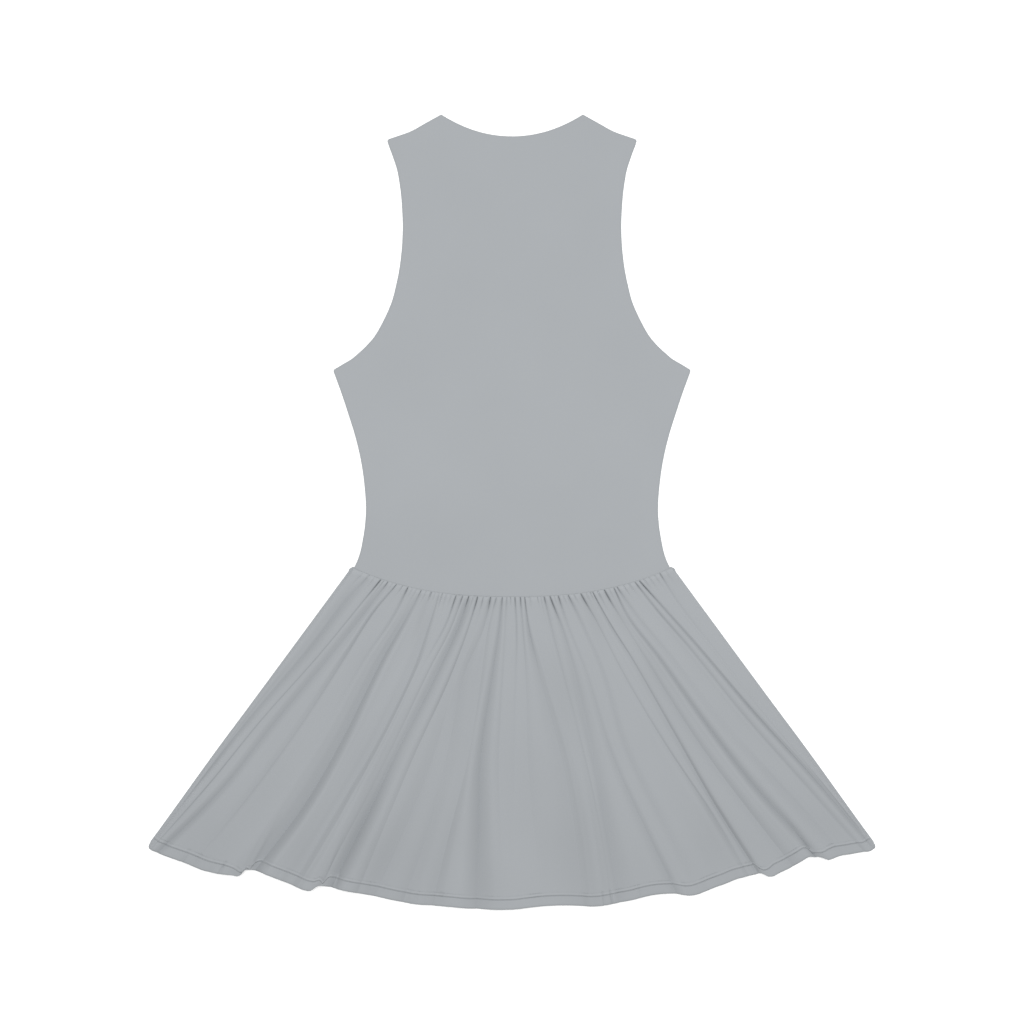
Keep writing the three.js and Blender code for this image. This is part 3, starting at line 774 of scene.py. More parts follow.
def dyed_material(
    name: str, shade: bpy.types.NodeTree, dye: tuple[float, float, float], unevenness: float
) -> tuple[bpy.types.Material, bpy.types.Node, bpy.types.Node]:
    """Starts a material whose colour and roughness come from the uneven dye and painted shade group.

    Args:
        name: The material's name.
        shade: The uneven dye group.
        dye: The colour.
        unevenness: How much lighter and darker the colour gets.

    Returns:
        The material, its surface node and its dye and painted shade group's node.
    """
    made = bpy.data.materials.new(name)
    made.use_nodes = True
    nodes, links = made.node_tree.nodes, made.node_tree.links
    surface = nodes["Principled BSDF"]
    place = nodes.new("ShaderNodeTexCoord")
    dye_and_painted_shade = nodes.new("ShaderNodeGroup")
    dye_and_painted_shade.node_tree = shade
    dye_and_painted_shade.inputs["Cloth"].default_value = (*dye, 1.0)
    dye_and_painted_shade.inputs["Amount"].default_value = unevenness
    links.new(place.outputs["Object"], dye_and_painted_shade.inputs["Place"])
    links.new(dye_and_painted_shade.outputs["Colour"], surface.inputs["Base Color"])
    links.new(dye_and_painted_shade.outputs["Rough"], surface.inputs["Roughness"])
    return made, surface, dye_and_painted_shade


@dataclass(frozen=True)
class Jersey:
    """Matte smooth single jersey: its dye, its stitch and how uneven both are."""

    name: str = "jersey"
    dye: tuple[float, float, float] = (0.371, 0.39, 0.408)
    wale: float = 0.0007
    course: float = 0.00055
    unevenness: float = 0.05
    gap_shade: float = 0.09
    relief: float = 0.00004
    relief_strength: float = 0.6
    shine: float = 0.2
    sheen: float = 0.06
    sheen_rough: float = 0.5

    def material(self, knit: bpy.types.NodeTree, shade: bpy.types.NodeTree) -> bpy.types.Material:
        """Makes the cloth's material on the piece's cloth chart.

        Args:
            knit: The jersey stitch group.
            shade: The uneven dye group.

        Returns:
            The material.
        """
        made, cloth, dye_and_painted_shade = dyed_material(self.name, shade, self.dye, self.unevenness)
        nodes, links = made.node_tree.nodes, made.node_tree.links
        cloth.inputs["Sheen Weight"].default_value = self.sheen
        cloth.inputs["Sheen Roughness"].default_value = self.sheen_rough
        cloth.inputs["Specular IOR Level"].default_value = self.shine
        chart = nodes.new("ShaderNodeUVMap")
        chart.uv_map = "cloth"
        stitches = nodes.new("ShaderNodeGroup")
        stitches.node_tree = knit
        stitches.inputs["Wale"].default_value = self.wale
        stitches.inputs["Course"].default_value = self.course
        links.new(chart.outputs["UV"], stitches.inputs["Place"])
        # Painted shade between the stitches
        dye_and_painted_shade.inputs["Depth"].default_value = self.gap_shade
        links.new(stitches.outputs["Gap"], dye_and_painted_shade.inputs["Gap"])
        # The tone attribute brings the mesh's painted shade and painted highlights into the colour
        tone = nodes.new("ShaderNodeAttribute")
        tone.attribute_name = "tone"
        links.new(tone.outputs["Fac"], dye_and_painted_shade.inputs["Tone"])
        bump = nodes.new("ShaderNodeBump")
        bump.inputs["Distance"].default_value = self.relief
        bump.inputs["Strength"].default_value = self.relief_strength
        links.new(stitches.outputs["Height"], bump.inputs["Height"])
        links.new(bump.outputs["Normal"], cloth.inputs["Normal"])
        return made


@dataclass(frozen=True)
class Thread:
    """Spun sewing thread: its dye, how uneven it is and its sheen."""

    name: str = "thread"
    dye: tuple[float, float, float] = (0.33, 0.35, 0.365)
    unevenness: float = 0.12
    sheen: float = 0.15

    def material(self, shade: bpy.types.NodeTree) -> bpy.types.Material:
        """Makes the thread's material.

        Args:
            shade: The uneven dye group.

        Returns:
            The material.
        """
        made, spun, _ = dyed_material(self.name, shade, self.dye, self.unevenness)
        spun.inputs["Sheen Weight"].default_value = self.sheen
        return made


@dataclass
class Bodice:
    """One bodice panel, from the neck and shoulders to the waist seam."""

    layer: Layer
    outline: Outline
    neck: Neckline
    underside: float
    crown: float = 0.0
    thickness: float = 1.1
    crown_power: float = 8.0
    roll: float = 0.9
    columns: int = 110
    rows: int = 150
    seam_lift: float = 1.6
    seam_lift_reach: float = 22.0
    seam_dip: float = 0.1
    seam_dip_reach: float = 1.2
    # Painted shade: the bodice darker towards the waist
    painted_waist_shade: float = -0.022
    tone_from: float = 60.0
    tone_over: float = 120.0
    edge_shares: tuple[float, ...] = (0.0008, 0.0018, 0.003, 0.005, 0.009, 0.015)
    # Painted shade along the rolled edges
    painted_edge_shade: float = -0.1
    painted_edge_shade_reach: float = 0.9
    underarm: float = 0.5305
    underarm_steps: tuple[float, ...] = (
        -0.012, -0.0085, -0.006, -0.004, -0.0025, -0.001, 0.0005, 0.002, 0.004, 0.0065, 0.0095,
    )
    under_curl: float = 0.2
    sway: tuple[tuple[float, float, float], ...] = ((2.3, 0.1, 0.10), (3.7, 0.62, 0.07))
    sway_from: float = 40.0

    @property
    def name(self) -> str:
        """The piece's name."""
        return f"{self.layer.value}_bodice_cloth"

    def grid(self) -> tuple[np.ndarray, np.ndarray, np.ndarray, np.ndarray]:
        """Plan of the panel: columns keep a share of the half width, rows a share of each column's length.

        Returns:
            The X, the Y, the distance to the nearest edge and the share down of each point.
        """
        corner = self.outline.neck_x / self.outline.tip_x
        share = np.union1d(2.0 * dense_at_ends(self.columns, self.edge_shares) - 1.0, (-corner, corner))
        down = dense_at_ends(self.rows, self.edge_shares)
        down = np.union1d(down, self.underarm + np.array(self.underarm_steps))[:, None]
        top = self.outline.bodice_top(share, self.neck)[None, :]
        bottom = self.outline.bodice_bottom(share)[None, :]
        y = top + (bottom - top) * down
        half = self.outline.bodice_half(y)
        x = share[None, :] * half
        lean = (self.outline.bodice_half(y + 1.0) - self.outline.bodice_half(y - 1.0)) / 2.0
        from_side = (1.0 - np.abs(share)) * half / np.sqrt(1.0 + lean**2)
        slope = np.gradient(top[0], x[0])[None, :]
        from_top = (top - y) / np.sqrt(1.0 + slope**2)
        return x, y, np.minimum(from_side, from_top), np.broadcast_to(down, x.shape)

    def build(self) -> bpy.types.Object:
        """Makes the panel: flat cloth whose edges roll under.

        The back one, on top, also has a low crown, a slow sway, and a lift and a dip along the waist seam.

        Returns:
            The panel.
        """
        on_top = float(self.layer is Layer.BACK)
        x, y, from_edge, down = self.grid()
        share = x / self.outline.bodice_half(y)
        crown = self.crown * (1.0 - np.abs(share) ** self.crown_power)
        from_seam = y - self.outline.seam_height(x)
        dip = on_top * self.seam_dip * np.exp(-((from_seam / self.seam_dip_reach) ** 2))
        lift = on_top * self.seam_lift * np.exp(-((from_seam / self.seam_lift_reach) ** 2))
        sway = on_top * ripple(x / (2 * self.outline.skirt_top_half) + down, self.sway)
        top = self.underside + self.thickness + crown + sway * ease(from_edge / self.sway_from) + lift
        curl = edge_roll(from_edge, self.roll)
        upper = np.stack((x, y, top - curl - dip), -1)
        lower = np.stack((x, y, top - self.thickness + on_top * self.under_curl * curl), -1)
        if self.layer is Layer.FRONT:
            lower[..., 2] = self.underside
        chart = np.stack((x, y), -1) * MM
        # Painted shade: darker towards the waist and along the rolled edges
        tone = self.painted_waist_shade * ease((self.tone_from - y) / self.tone_over)
        tone = tone + self.painted_edge_shade * np.exp(-((from_edge / self.painted_edge_shade_reach) ** 2))
        return ClothMesh(self.name, self.thickness).build(upper, lower, chart, tone)


SKIRT_LENGTH = 345.0


@dataclass
class BackSkirt:
    """The back skirt: gathers and puffs at the waist seam, long folds down to a stitched hem.

    Rows and columns are closest where the cloth bends most: the _rows are distances from the seam or the
    hem, and the _steps are shares of the width, or distances at the seam, beside a fold, tuck or side.
    """

    outline: Outline
    thickness: float = 0.9
    columns: int = 300
    middle_rows: int = 47
    fine_shares: int = 4001
    spread_at: tuple[float, ...] = (0.0, 0.3, 0.6, 1.0)
    column_gap: float = 0.0009
    least_gap: float = 0.0002
    seam_steps: tuple[float, ...] = (-1.1, -0.5, 0.5, 1.1)
    seam_level: float = 4.1
    seam_crown: float = 0.9
    crown_power: int = 8
    seam_rise: float = 2.2
    slit_floor: float = 2.5
    tuck_level: float = 2.3
    under_cloth: float = 1.2
    under_folds: float = 0.5
    under_more: float = 1.0
    under_more_by: float = 0.08
    clear: float = 0.3
    air: float = 1.4
    air_by: float = 0.03
    soft_bend: float = 2.5
    depth_share: float = 0.67
    flank_width: float = 2.4
    flank_least: float = 6.0
    puff: float = 1.3
    puff_per_gap: float = 0.18
    puff_reach: float = 11.0
    puff_flat: float = 0.6
    puff_fade: float = 1.5
    gather_widens: float = 5.0
    gather_from: float = 0.2
    gather_opens: float = 1.4
    seam_ticks: tuple[tuple[float, float, float], ...] = (
        (41.0, 0.3, 0.2), (67.0, 0.7, 0.18), (83.0, 0.1, 0.16),
    )
    tick_reach: float = 5.0
    side_round: float = 5.0
    side_power: float = 0.7
    side_edge: float = 3.0
    roll: float = 0.9
    length: float = SKIRT_LENGTH
    cut_top: float = 0.53
    cut_hem: float = 0.84
    # Painted shade: the skirt darker down towards the hem, at shares of its length
    tone_down: tuple[float, ...] = (-0.01, 0.1, 0.25, 0.5, 0.75, 0.9, 1.0)
    painted_shade_down: tuple[float, ...] = (-0.02, -0.01, -0.015, -0.042, -0.054, -0.064, -0.064)
    # Painted highlight on the rim just below the seam
    painted_rim_highlight: float = 0.05
    rim_middle: float = 2.4
    rim_half: float = 2.0
    # Painted shade along the rolled hem edge
    painted_edge_shade: float = -0.2
    painted_edge_shade_reach: float = 1.2
    # Painted highlight between the hem's stitch rows
    painted_row_highlight: float = 0.05
    row_half: float = 0.8
    hem_stitch: float = 11.0
    hem_second: float = 14.8
    groove: float = 1.1
    groove_wide: float = 0.4
    second_groove: float = 0.35
    bead: float = 0.35
    bead_wide: float = 1.2
    hem_band: float = 16.5
    hem_band_soft: float = 1.6
    hem_lift: float = 0.5
    tuck_deep: float = 1.6
    tuck_wide: float = 2.4
    tuck_steps: tuple[float, ...] = (-0.0011, 0.0, 0.0011)
    side_steps: tuple[float, ...] = (0.0012, 0.0026, 0.0045, 0.007, 0.0105)
    turn_steps: tuple[float, ...] = (-0.003, -0.0012, -0.0005, 0.0, 0.0005, 0.0012, 0.003)
    seam_rows: tuple[float, ...] = (
        -0.8, -0.05, 0.0, 0.35, 0.7, 1.1, 1.6, 2.3, 3.2, 4.4, 6.0, 8.0, 10.5, 13.5, 17.0,
    )
    hem_rows: tuple[float, ...] = (
        24.0, 20.0, 17.5, 16.0, 15.3, 14.8, 14.3, 13.6, 12.6, 11.9, 11.45, 11.2, 11.0, 10.8, 10.55, 10.1,
        9.3, 8.0, 6.0, 4.0, 2.6, 1.6, 0.9, 0.4, 0.15, 0.0,
    )
    streaks_by: float = 0.2
    streaks: tuple[tuple[float, float, float], ...] = (
        (17.0, 0.13, 0.16), (29.0, 0.71, 0.12), (43.0, 0.37, 0.1), (71.0, 0.91, 0.06),
    )
    puckers: tuple[tuple[float, float, float], ...] = (
        (23.0, 0.4, 0.14), (37.0, 0.8, 0.14), (61.0, 0.2, 0.12), (97.0, 0.6, 0.08),
    )

    @property
    def between_stitches(self) -> float:
        """Distance from the hem to the middle between its two stitch rows."""
        return (self.hem_stitch + self.hem_second) / 2.0

    def rows(self) -> np.ndarray:
        """Shares down the skirt: close rows at the seam and through the hem, longer ones between."""
        top = np.array(self.seam_rows) / self.length
        hem = 1.0 - np.array(self.hem_rows) / self.length
        middle = np.linspace(top[-1], hem[0], self.middle_rows)[1:-1]
        return np.r_[top, middle, hem]

    def seam_lines(self) -> np.ndarray:
        """Shares of the seam where a fold or a gather starts, with both ends."""
        starts = [fold.across[0] for fold in LONG_FOLDS] + [gather.seam for gather in SHORT_GATHERS]
        return np.array(sorted([0.0, *starts, 1.0]))

    def paths(self, down: np.ndarray) -> np.ndarray:
        """Share of the width of each long fold, with both side edges, at each row."""
        across = np.array([fold.across for fold in LONG_FOLDS])
        inner = smooth_through(STATIONS, across, np.clip(down, 0.0, 1.0))
        return np.concatenate((np.zeros((1, down.size)), inner, np.ones((1, down.size))))

    def flow(self, start: np.ndarray, down: np.ndarray) -> np.ndarray:
        """Carries shares of the seam down the skirt, each keeping its place between the long folds.

        Args:
            start: Shares of the seam, rising.
            down: Shares of the length.

        Returns:
            Shares of the width, rows by columns.
        """
        paths = self.paths(down)
        i = np.clip(np.searchsorted(paths[:, 0], start, side="right") - 1, 0, len(paths) - 2)
        mix = (start - paths[i, 0]) / (paths[i + 1, 0] - paths[i, 0])
        return (paths[i] * (1 - mix)[:, None] + paths[i + 1] * mix[:, None]).T

    def starts(self) -> np.ndarray:
        """Shares of the seam of all columns: even down the skirt, with close ones where the cloth bends."""
        fine = np.linspace(0.0, 1.0, self.fine_shares)
        spread = self.flow(fine, np.array(self.spread_at)).mean(axis=0)
        even = np.interp(np.linspace(0.0, 1.0, self.columns), spread, fine)
        lines = self.seam_lines()
        beside = np.array(self.seam_steps) / (2.0 * self.outline.skirt_top_half)
        tucks = np.array(HEM_PUCKERS)[:, None] + np.array(self.tuck_steps)
        turns = np.array([turn.across for turn in HEM_TURNS])[:, None] + np.array(self.turn_steps)
        at_hem = np.r_[tucks.ravel(), turns.ravel()]
        carried = np.interp(at_hem, self.flow(fine, np.array([1.0]))[0], fine)
        sides = np.array(self.side_steps)
        close = np.r_[lines, (lines[1:-1, None] + beside).ravel(), carried, sides, 1.0 - sides]
        apart = np.abs(even[:, None] - close).min(axis=1) > self.column_gap
        both = np.sort(np.r_[close, even[apart]])
        return both[np.r_[True, np.diff(both) > self.least_gap]]

    def long_folds(self, across: np.ndarray, down: np.ndarray) -> np.ndarray:
        """Troughs of the long folds: creases, cut into rounded plateaus.

        A trough's depth is two thirds of its steepness times its mean width. The plateaus are a smooth
        greatest of bells, one round each fold, as high as the fold is deep.

        Args:
            across: Shares of the width, rows by columns.
            down: Shares of the length, one for each row.

        Returns:
            Relief of the folds.
        """
        clipped = np.clip(down, 0.0, 1.0)
        centres = self.paths(down)[1:-1]
        steep = np.maximum(0.0, smooth_through(STATIONS, [fold.steep for fold in LONG_FOLDS], clipped))
        width = 2.0 * self.outline.skirt_half(clipped)
        troughs = np.zeros_like(across)
        plateaus = np.zeros_like(across)
        for fold, centre, slope in zip(LONG_FOLDS, centres, steep):
            away = (across - centre[:, None]) * width[:, None]
            widened = (fold.top + (1.0 - fold.top) * clipped)[:, None]
            wide = np.where(away < 0.0, fold.left, fold.right) * widened
            depth = self.depth_share * slope[:, None] * math.sqrt(fold.left * fold.right) * widened
            flank = np.exp(-((away / (self.flank_width * wide + self.flank_least)) ** 2))
            troughs += depth * crease(away, wide)
            plateaus += (depth * flank) ** 3
        return np.cbrt(plateaus) - troughs

    def short_gathers(self, across: np.ndarray, down: np.ndarray) -> np.ndarray:
        """Depth of the short gathers: creases that open below the seam and fade as a bell curve down."""
        depth = np.zeros_like(across)
        width = 2.0 * self.outline.skirt_half(np.clip(down, 0.0, 1.0))[:, None]
        opened = ease((down * self.length - self.gather_from) / self.gather_opens)
        for gather in SHORT_GATHERS:
            centre = self.flow(np.array([gather.seam]), down)
            fade = (opened * np.exp(-((np.maximum(down, 0.0) / gather.reach) ** 2)))[:, None]
            wide = gather.wide + self.gather_widens * np.maximum(down, 0.0)[:, None]
            depth += gather.deep * fade * crease((across - centre) * width, wide)
        return depth

    def puffs(self, start: np.ndarray, down: np.ndarray) -> np.ndarray:
        """Cloth that puffs between neighbouring gathers: a round arch across that fades down the skirt.

        Args:
            start: Shares of the seam, one for each column.
            down: Shares of the length, one for each row.

        Returns:
            Height of the puffs, rows by columns.
        """
        lines = self.seam_lines()
        i = np.clip(np.searchsorted(lines, start, side="right") - 1, 0, lines.size - 2)
        gap = (lines[i + 1] - lines[i]) * 2.0 * self.outline.skirt_top_half
        phase = (start - lines[i]) / (lines[i + 1] - lines[i])
        arch = np.sin(np.pi * phase) ** self.puff_flat * np.minimum(self.puff, self.puff_per_gap * gap)
        gone = np.maximum(down, 0.0) * self.length / self.puff_reach
        return np.exp(-(gone**self.puff_fade))[:, None] * arch

    def shade(self, across: np.ndarray, down: np.ndarray) -> np.ndarray:
        """Painted shade and highlights of the cloth: darker down the skirt, the patches, the seam's rim and
        the hem's lines.

        Each patch, rim and line is a bell curve.

        Args:
            across: Shares of the width, rows by columns.
            down: Shares of the length, one for each row.

        Returns:
            The painted tone of each point.
        """
        tone = smooth_through(self.tone_down, self.painted_shade_down, down)[0][:, None]
        for patch in PAINTED_SHADE_PATCHES:
            beside = (across - patch.across) / patch.wide
            along = ((down - patch.down) / patch.long)[:, None]
            tone = tone + patch.tone * np.exp(-(beside**2) - along**2)
        from_seam = down[:, None] * self.length
        from_hem = self.length - from_seam
        # Painted highlight on the rim below the seam
        tone = tone + self.painted_rim_highlight * np.exp(-(((from_seam - self.rim_middle) / self.rim_half) ** 2))
        # Painted shade along the hem edge
        tone = tone + self.painted_edge_shade * np.exp(-((from_hem / self.painted_edge_shade_reach) ** 2))
        # Painted highlight between the hem's stitch rows
        return tone + self.painted_row_highlight * np.exp(-(((from_hem - self.between_stitches) / self.row_half) ** 2))

    def floor(self, down: np.ndarray) -> np.ndarray:
        """Lowest height of the upper face, clear of the front skirt's folds underneath."""
        folds = self.under_folds + self.under_more * ease(np.maximum(down, 0.0) / self.under_more_by)
        return self.under_cloth + folds + self.clear + self.thickness

    def stitched_hem(self, from_hem: np.ndarray, across: np.ndarray) -> np.ndarray:
        """The hem's relief: a doubled band with puckers, two stitch grooves and a bead between them.

        Args:
            from_hem: Distance from the hem edge.
            across: Shares of the width.

        Returns:
            Height that the hem adds.
        """
        band = ease((self.hem_band - from_hem) / self.hem_band_soft)
        deep = self.groove * np.exp(-(((from_hem - self.hem_stitch) / self.groove_wide) ** 2))
        second = self.second_groove * np.exp(-(((from_hem - self.hem_second) / self.groove_wide) ** 2))
        bead = self.bead * np.exp(-(((from_hem - self.between_stitches) / self.bead_wide) ** 2))
        width = 2.0 * self.outline.hem_half
        tucks = sum(crease((across - place) * width, self.tuck_wide) for place in HEM_PUCKERS)
        lift = self.hem_lift + ripple(across, self.puckers) - self.tuck_deep * tucks
        return band * lift + bead - deep - second

    def surface(self, start: np.ndarray, down: np.ndarray) -> np.ndarray:
        """Upper face of the skirt: air under it, folds, gathers and puffs, closing at the sides and hem.

        Args:
            start: Shares of the seam, one for each column.
            down: Shares of the length, one for each row.

        Returns:
            Points, rows by columns by 3.
        """
        across = self.flow(start, down)
        clipped = np.clip(down, 0.0, 1.0)[:, None]
        x, y = self.outline.skirt_plan(across, np.broadcast_to(down[:, None], across.shape), 0.0, 0.0)
        relief = self.air * ease(down / self.air_by)[:, None]
        relief = relief + self.long_folds(across, down) + self.puffs(start, down)
        relief += ripple(start[None, :], self.streaks) * ease(clipped / self.streaks_by)
        ticks = ripple(start[None, :], self.seam_ticks)
        soft = np.logaddexp(0.0, self.soft_bend * relief) / self.soft_bend
        inward = (0.5 - np.abs(across - 0.5)) * 2.0 * self.outline.skirt_half(down)[:, None]
        low = self.floor(down)[:, None]
        shut = ease(inward / self.side_round) ** self.side_power
        height = self.side_edge + (low + soft - self.side_edge) * shut
        from_hem = (1.0 - down)[:, None] * self.length
        height += self.stitched_hem(from_hem, across)
        height -= edge_roll(inward, self.roll) + edge_roll(from_hem, self.roll)
        from_seam = down[:, None] * self.length
        risen = 1.0 - np.exp(-np.maximum(from_seam, 0.0) / self.seam_rise)
        level = self.seam_level + self.seam_crown * (1.0 - (2.0 * start - 1.0) ** self.crown_power)
        height = level + (height - level) * risen
        height += ticks * risen * np.exp(-((from_seam / self.tick_reach) ** 2))
        height = np.maximum(height - self.short_gathers(across, down), self.slit_floor)
        height = np.where(from_seam < 0.0, self.tuck_level, height)
        return np.stack((x, y, height), -1)

    def build(self) -> bpy.types.Object:
        """Makes the panel as a thin closed shell.

        Returns:
            The panel.
        """
        start = self.starts()
        down = self.rows()
        upper = self.surface(start, down)
        creases = np.searchsorted(start, [fold.across[0] for fold in LONG_FOLDS])
        shell = ClothMesh("back_skirt_cloth", self.thickness, tuple(creases))
        tone = self.shade(self.flow(start, down), down)
        cut_width = self.cut_top + (self.cut_hem - self.cut_top) * down[:, None]
        chart_x = (self.flow(start, down) - 0.5) * cut_width
        chart = np.stack((chart_x, np.broadcast_to(-down[:, None] * self.length * MM, chart_x.shape)), -1)
        lower = shell.lower_face(upper)
        lower[..., 2] = np.maximum(lower[..., 2], self.under_cloth)
        return shell.build(upper, lower, chart, tone)


@dataclass
class FrontSkirt:
    """The front skirt underneath: it rests flat between its lifted folds."""

    outline: Outline
    thickness: float = 1.1
    columns: int = 320
    rows: int = 70
    length: float = SKIRT_LENGTH
    cut_width: float = 0.7
    half_width: float = 6.0
    seam_share: float = 0.35
    touch_down: float = 0.08
    lift_max: float = 1.5
    lift_at: tuple[float, ...] = (0.0, 0.5, 1.0)
    side_inset: float = 0.8
    hem_inset: float = 2.5
    roll: float = 0.8
    edge_shares: tuple[float, ...] = (0.0012, 0.0026, 0.005, 0.009)

    def build(self) -> bpy.types.Object:
        """Makes the panel: a bell-shaped lift along each fold, cut off where the cloth touches down.

        Returns:
            The panel.
        """
        across = dense_at_ends(self.columns, self.edge_shares)[None, :]
        down = dense_at_ends(self.rows, self.edge_shares)[:, None]
        across, down = np.broadcast_arrays(across, down)
        x, y = self.outline.skirt_plan(across, down, self.side_inset, self.hem_inset)
        lift = np.zeros_like(across)
        width = 2.0 * self.outline.skirt_half(down)
        for fold in FRONT_FOLDS:
            centre = fold.seam + (fold.hem - fold.seam) * down
            rise = smooth_through(self.lift_at, fold.lift, down[:, 0])[0][:, None]
            wide = self.half_width * (self.seam_share + (1.0 - self.seam_share) * down)
            bell = np.exp(-(((across - centre) * width / wide) ** 2))
            lift = np.maximum(lift, rise * np.maximum(0.0, bell - self.touch_down))
        lift = np.clip(lift, 0.0, self.lift_max)
        inward = (0.5 - np.abs(across - 0.5)) * width
        curl = edge_roll(np.minimum(inward, (1.0 - down) * self.length), self.roll)
        upper = np.stack((x, y, lift + self.thickness - curl), -1)
        lower = np.stack((x, y, lift), -1)
        chart = np.stack((across * self.cut_width, -down * self.length * MM), -1)
        tone = np.zeros_like(across)
        return ClothMesh("front_skirt_cloth", self.thickness).build(upper, lower, chart, tone)


@dataclass
class HemStitches:
    """Two rows of twin-needle stitches along the back skirt's hem, a small bowed capsule for each."""

    skirt: BackSkirt
    pitch: float = 3.3
    gap: float = 0.7
    radius: float = 0.24
    sink: float = 0.08
    bow: float = 0.12
    from_side: float = 4.0
    blunt: float = 0.12
    samples: int = 6001
    stations: int = 5
    sides: int = 6

    def row(self, from_hem: float) -> np.ndarray:
        """Points along one row on the skirt's surface, evenly spaced by arc length.

        Args:
            from_hem: Distance of the row from the hem edge.

        Returns:
            Stitch centrelines, stitches by stations by 3.
        """
        start = np.linspace(0.0, 1.0, self.samples)
        line = self.skirt.surface(start, np.array([1.0 - from_hem / self.skirt.length]))[0]
        reach = np.r_[0.0, np.cumsum(np.linalg.norm(np.diff(line, axis=0), axis=1))]
        count = int((reach[-1] - 2.0 * self.from_side) / self.pitch)
        begin = self.from_side + self.pitch * np.arange(count)[:, None]
        along = begin + np.linspace(0.0, self.pitch - self.gap, self.stations)[None, :]
        points = np.stack([np.interp(along, reach, line[:, axis]) for axis in range(3)], -1)
        bow = self.bow * np.sin(np.linspace(0.0, np.pi, self.stations))
        points[..., 2] += bow - self.sink
        return points

    def build(self) -> bpy.types.Object:
        """Carries a small ring along each stitch, closed to a point at both ends.

        Returns:
            The stitches as one mesh.
        """
        lines = np.concatenate([self.row(self.skirt.hem_stitch), self.row(self.skirt.hem_second)])
        tangent = np.gradient(lines, axis=1)
        tangent /= np.linalg.norm(tangent, axis=2, keepdims=True)
        side = np.cross(tangent, (0.0, 0.0, 1.0))
        side /= np.linalg.norm(side, axis=2, keepdims=True)
        up = np.cross(side, tangent)
        turn = np.linspace(0.0, 2.0 * np.pi, self.sides, endpoint=False)
        taper = np.sin(np.linspace(self.blunt, np.pi - self.blunt, self.stations)) ** 0.5 * self.radius
        ring = side[:, :, None] * np.cos(turn)[None, None, :, None]
        ring = ring + up[:, :, None] * np.sin(turn)[None, None, :, None]
        points = lines[:, :, None] + ring * taper[None, :, None, None]
        count = len(lines)
        index = np.arange(points[..., 0].size).reshape(count, self.stations, self.sides)
        after = np.roll(index, -1, axis=2)
        walls = np.stack((index[:, :-1], index[:, 1:], after[:, 1:], after[:, :-1]), -1).reshape(-1, 4)
        fans = np.array(((0, 1, 2, 3), (0, 3, 4, 5)))  # two quads close a six-sided end
        begins = index[:, 0][:, fans].reshape(-1, 4)
        ends = index[:, -1][:, fans[:, ::-1]].reshape(-1, 4)
        faces = np.concatenate((walls, begins, ends))
        chart = points.reshape(-1, 3)[:, :2] * MM
        return mesh_object("back_hem_stitches", points.reshape(-1, 3) * MM, faces, chart)


@dataclass(frozen=True)
class Cut:
    """The flat cut of a panel: its width and length, and its area where it isn't a rectangle, in metres."""

    width: float
    length: float
    area: float


BODICE_CUT = Cut(0.41, 0.55, 0.172)
SKIRT_CUT = Cut(0.86, 0.40, 0.262)


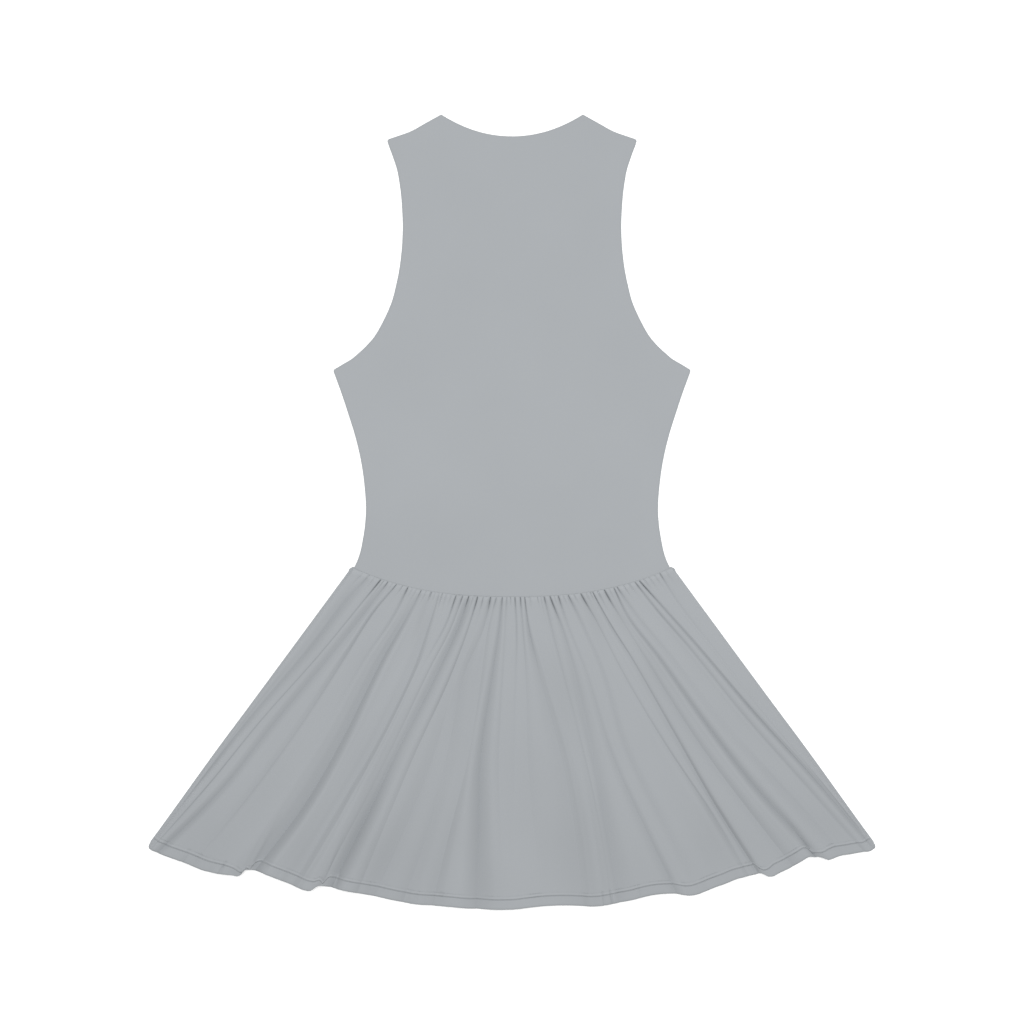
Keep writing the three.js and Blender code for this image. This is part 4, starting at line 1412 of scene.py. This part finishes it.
@dataclass
class Studio:
    """Pale floor, a wide soft light almost straight above, a pale surround and a camera that looks down."""

    floor_half: float = 3.0
    floor_drop: float = 0.0002
    key_strength: float = 2.13
    key_lean: float = 0.14
    key_wide: float = 0.52
    surround: float = 0.5
    floor_white: float = 0.95
    floor_glow: float = 0.2
    lens: float = 100.0
    frame_width: float = 1.1264
    frame_centre_y: float = 0.00055
    sensor: float = 36.0
    focus_height: float = 0.004

    def build(self) -> None:
        """Makes the floor, the lights and the camera."""
        self.floor()
        self.lights()
        self.camera()

    def floor(self) -> None:
        """A matte white sheet under the dress."""
        half, z = self.floor_half, -self.floor_drop
        corners = np.array([(-half, -half, z), (half, -half, z), (half, half, z), (-half, half, z)])
        piece = mesh_object("floor", corners, np.array([[0, 1, 2, 3]]), corners[:, :2])
        white = bpy.data.materials.new("floor_white")
        white.use_nodes = True
        surface = white.node_tree.nodes["Principled BSDF"]
        surface.inputs["Base Color"].default_value = (*(self.floor_white,) * 3, 1.0)
        surface.inputs["Roughness"].default_value = 1.0
        surface.inputs["Specular IOR Level"].default_value = 0.0
        surface.inputs["Emission Color"].default_value = (1.0, 1.0, 1.0, 1.0)
        surface.inputs["Emission Strength"].default_value = self.floor_glow
        piece.data.materials.append(white)

    def lights(self) -> None:
        """The wide soft light, which leans a little to the neck, and the even pale light from all round."""
        key = bpy.data.lights.new("key_light", "SUN")
        key.energy = self.key_strength
        key.angle = self.key_wide
        lamp = bpy.data.objects.new("key_light", key)
        lamp.rotation_euler = (-self.key_lean, 0.0, 0.0)
        bpy.context.collection.objects.link(lamp)
        world = bpy.data.worlds.new("surround")
        world.use_nodes = True
        sky = world.node_tree.nodes["Background"]
        sky.inputs["Color"].default_value = (1.0, 1.0, 1.0, 1.0)
        sky.inputs["Strength"].default_value = self.surround
        bpy.context.scene.world = world
        bpy.context.scene.view_settings.view_transform = "Standard"

    def camera(self) -> None:
        """A long lens straight above the dress, as far up as its frame width asks."""
        lens = bpy.data.cameras.new("camera")
        lens.lens = self.lens
        lens.sensor_width = self.sensor
        eye = bpy.data.objects.new("camera", lens)
        away = self.frame_width * self.lens / self.sensor
        eye.location = (0.0, self.frame_centre_y, away + self.focus_height)
        bpy.context.collection.objects.link(eye)
        bpy.context.scene.camera = eye


def dress_piece(piece: bpy.types.Object, material: bpy.types.Material, node: str | None = None) -> None:
    """Gives a piece its material and its body, and reports it.

    Args:
        piece: The piece.
        material: Its material.
        node: The CAD node that it stands for, if it stands for one.
    """
    piece.data.materials.append(material)
    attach(piece, "root")
    if node:
        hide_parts(node)
    LOG.info("%s: %d faces", piece.name, len(piece.data.polygons))


def main() -> None:
    """Builds the dress panel by panel, dresses it and sets the studio round it."""
    logging.basicConfig(level=logging.INFO, format="%(message)s")
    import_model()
    outline = Outline()
    knit = knit_group()
    shade = shade_group()
    cloth = Jersey().material(knit, shade)
    thread = Thread().material(shade)

    front_bodice = Bodice(Layer.FRONT, outline, Neckline(84.0, 2.3, 0.6), underside=0.0).build()
    back_bodice = Bodice(Layer.BACK, outline, Neckline(24.0, 2.05, 1.0), underside=1.5, crown=0.9).build()
    front_skirt = FrontSkirt(outline).build()
    skirt = BackSkirt(outline)
    back_skirt = skirt.build()
    stitches = HemStitches(skirt).build()
    panels = {
        "front_bodice": (front_bodice, BODICE_CUT, Hold.LAID, []),
        "front_skirt": (front_skirt, SKIRT_CUT, Hold.GATHERED, []),
        "back_bodice": (back_bodice, BODICE_CUT, Hold.LAID, []),
        "back_skirt": (back_skirt, SKIRT_CUT, Hold.GATHERED, [stitches]),
    }
    for node, (piece, cut, hold, sewn) in panels.items():
        dress_piece(piece, cloth, node)
        for part in sewn:
            dress_piece(part, thread)
    Studio().build()


if __name__ == "__main__":
    main()
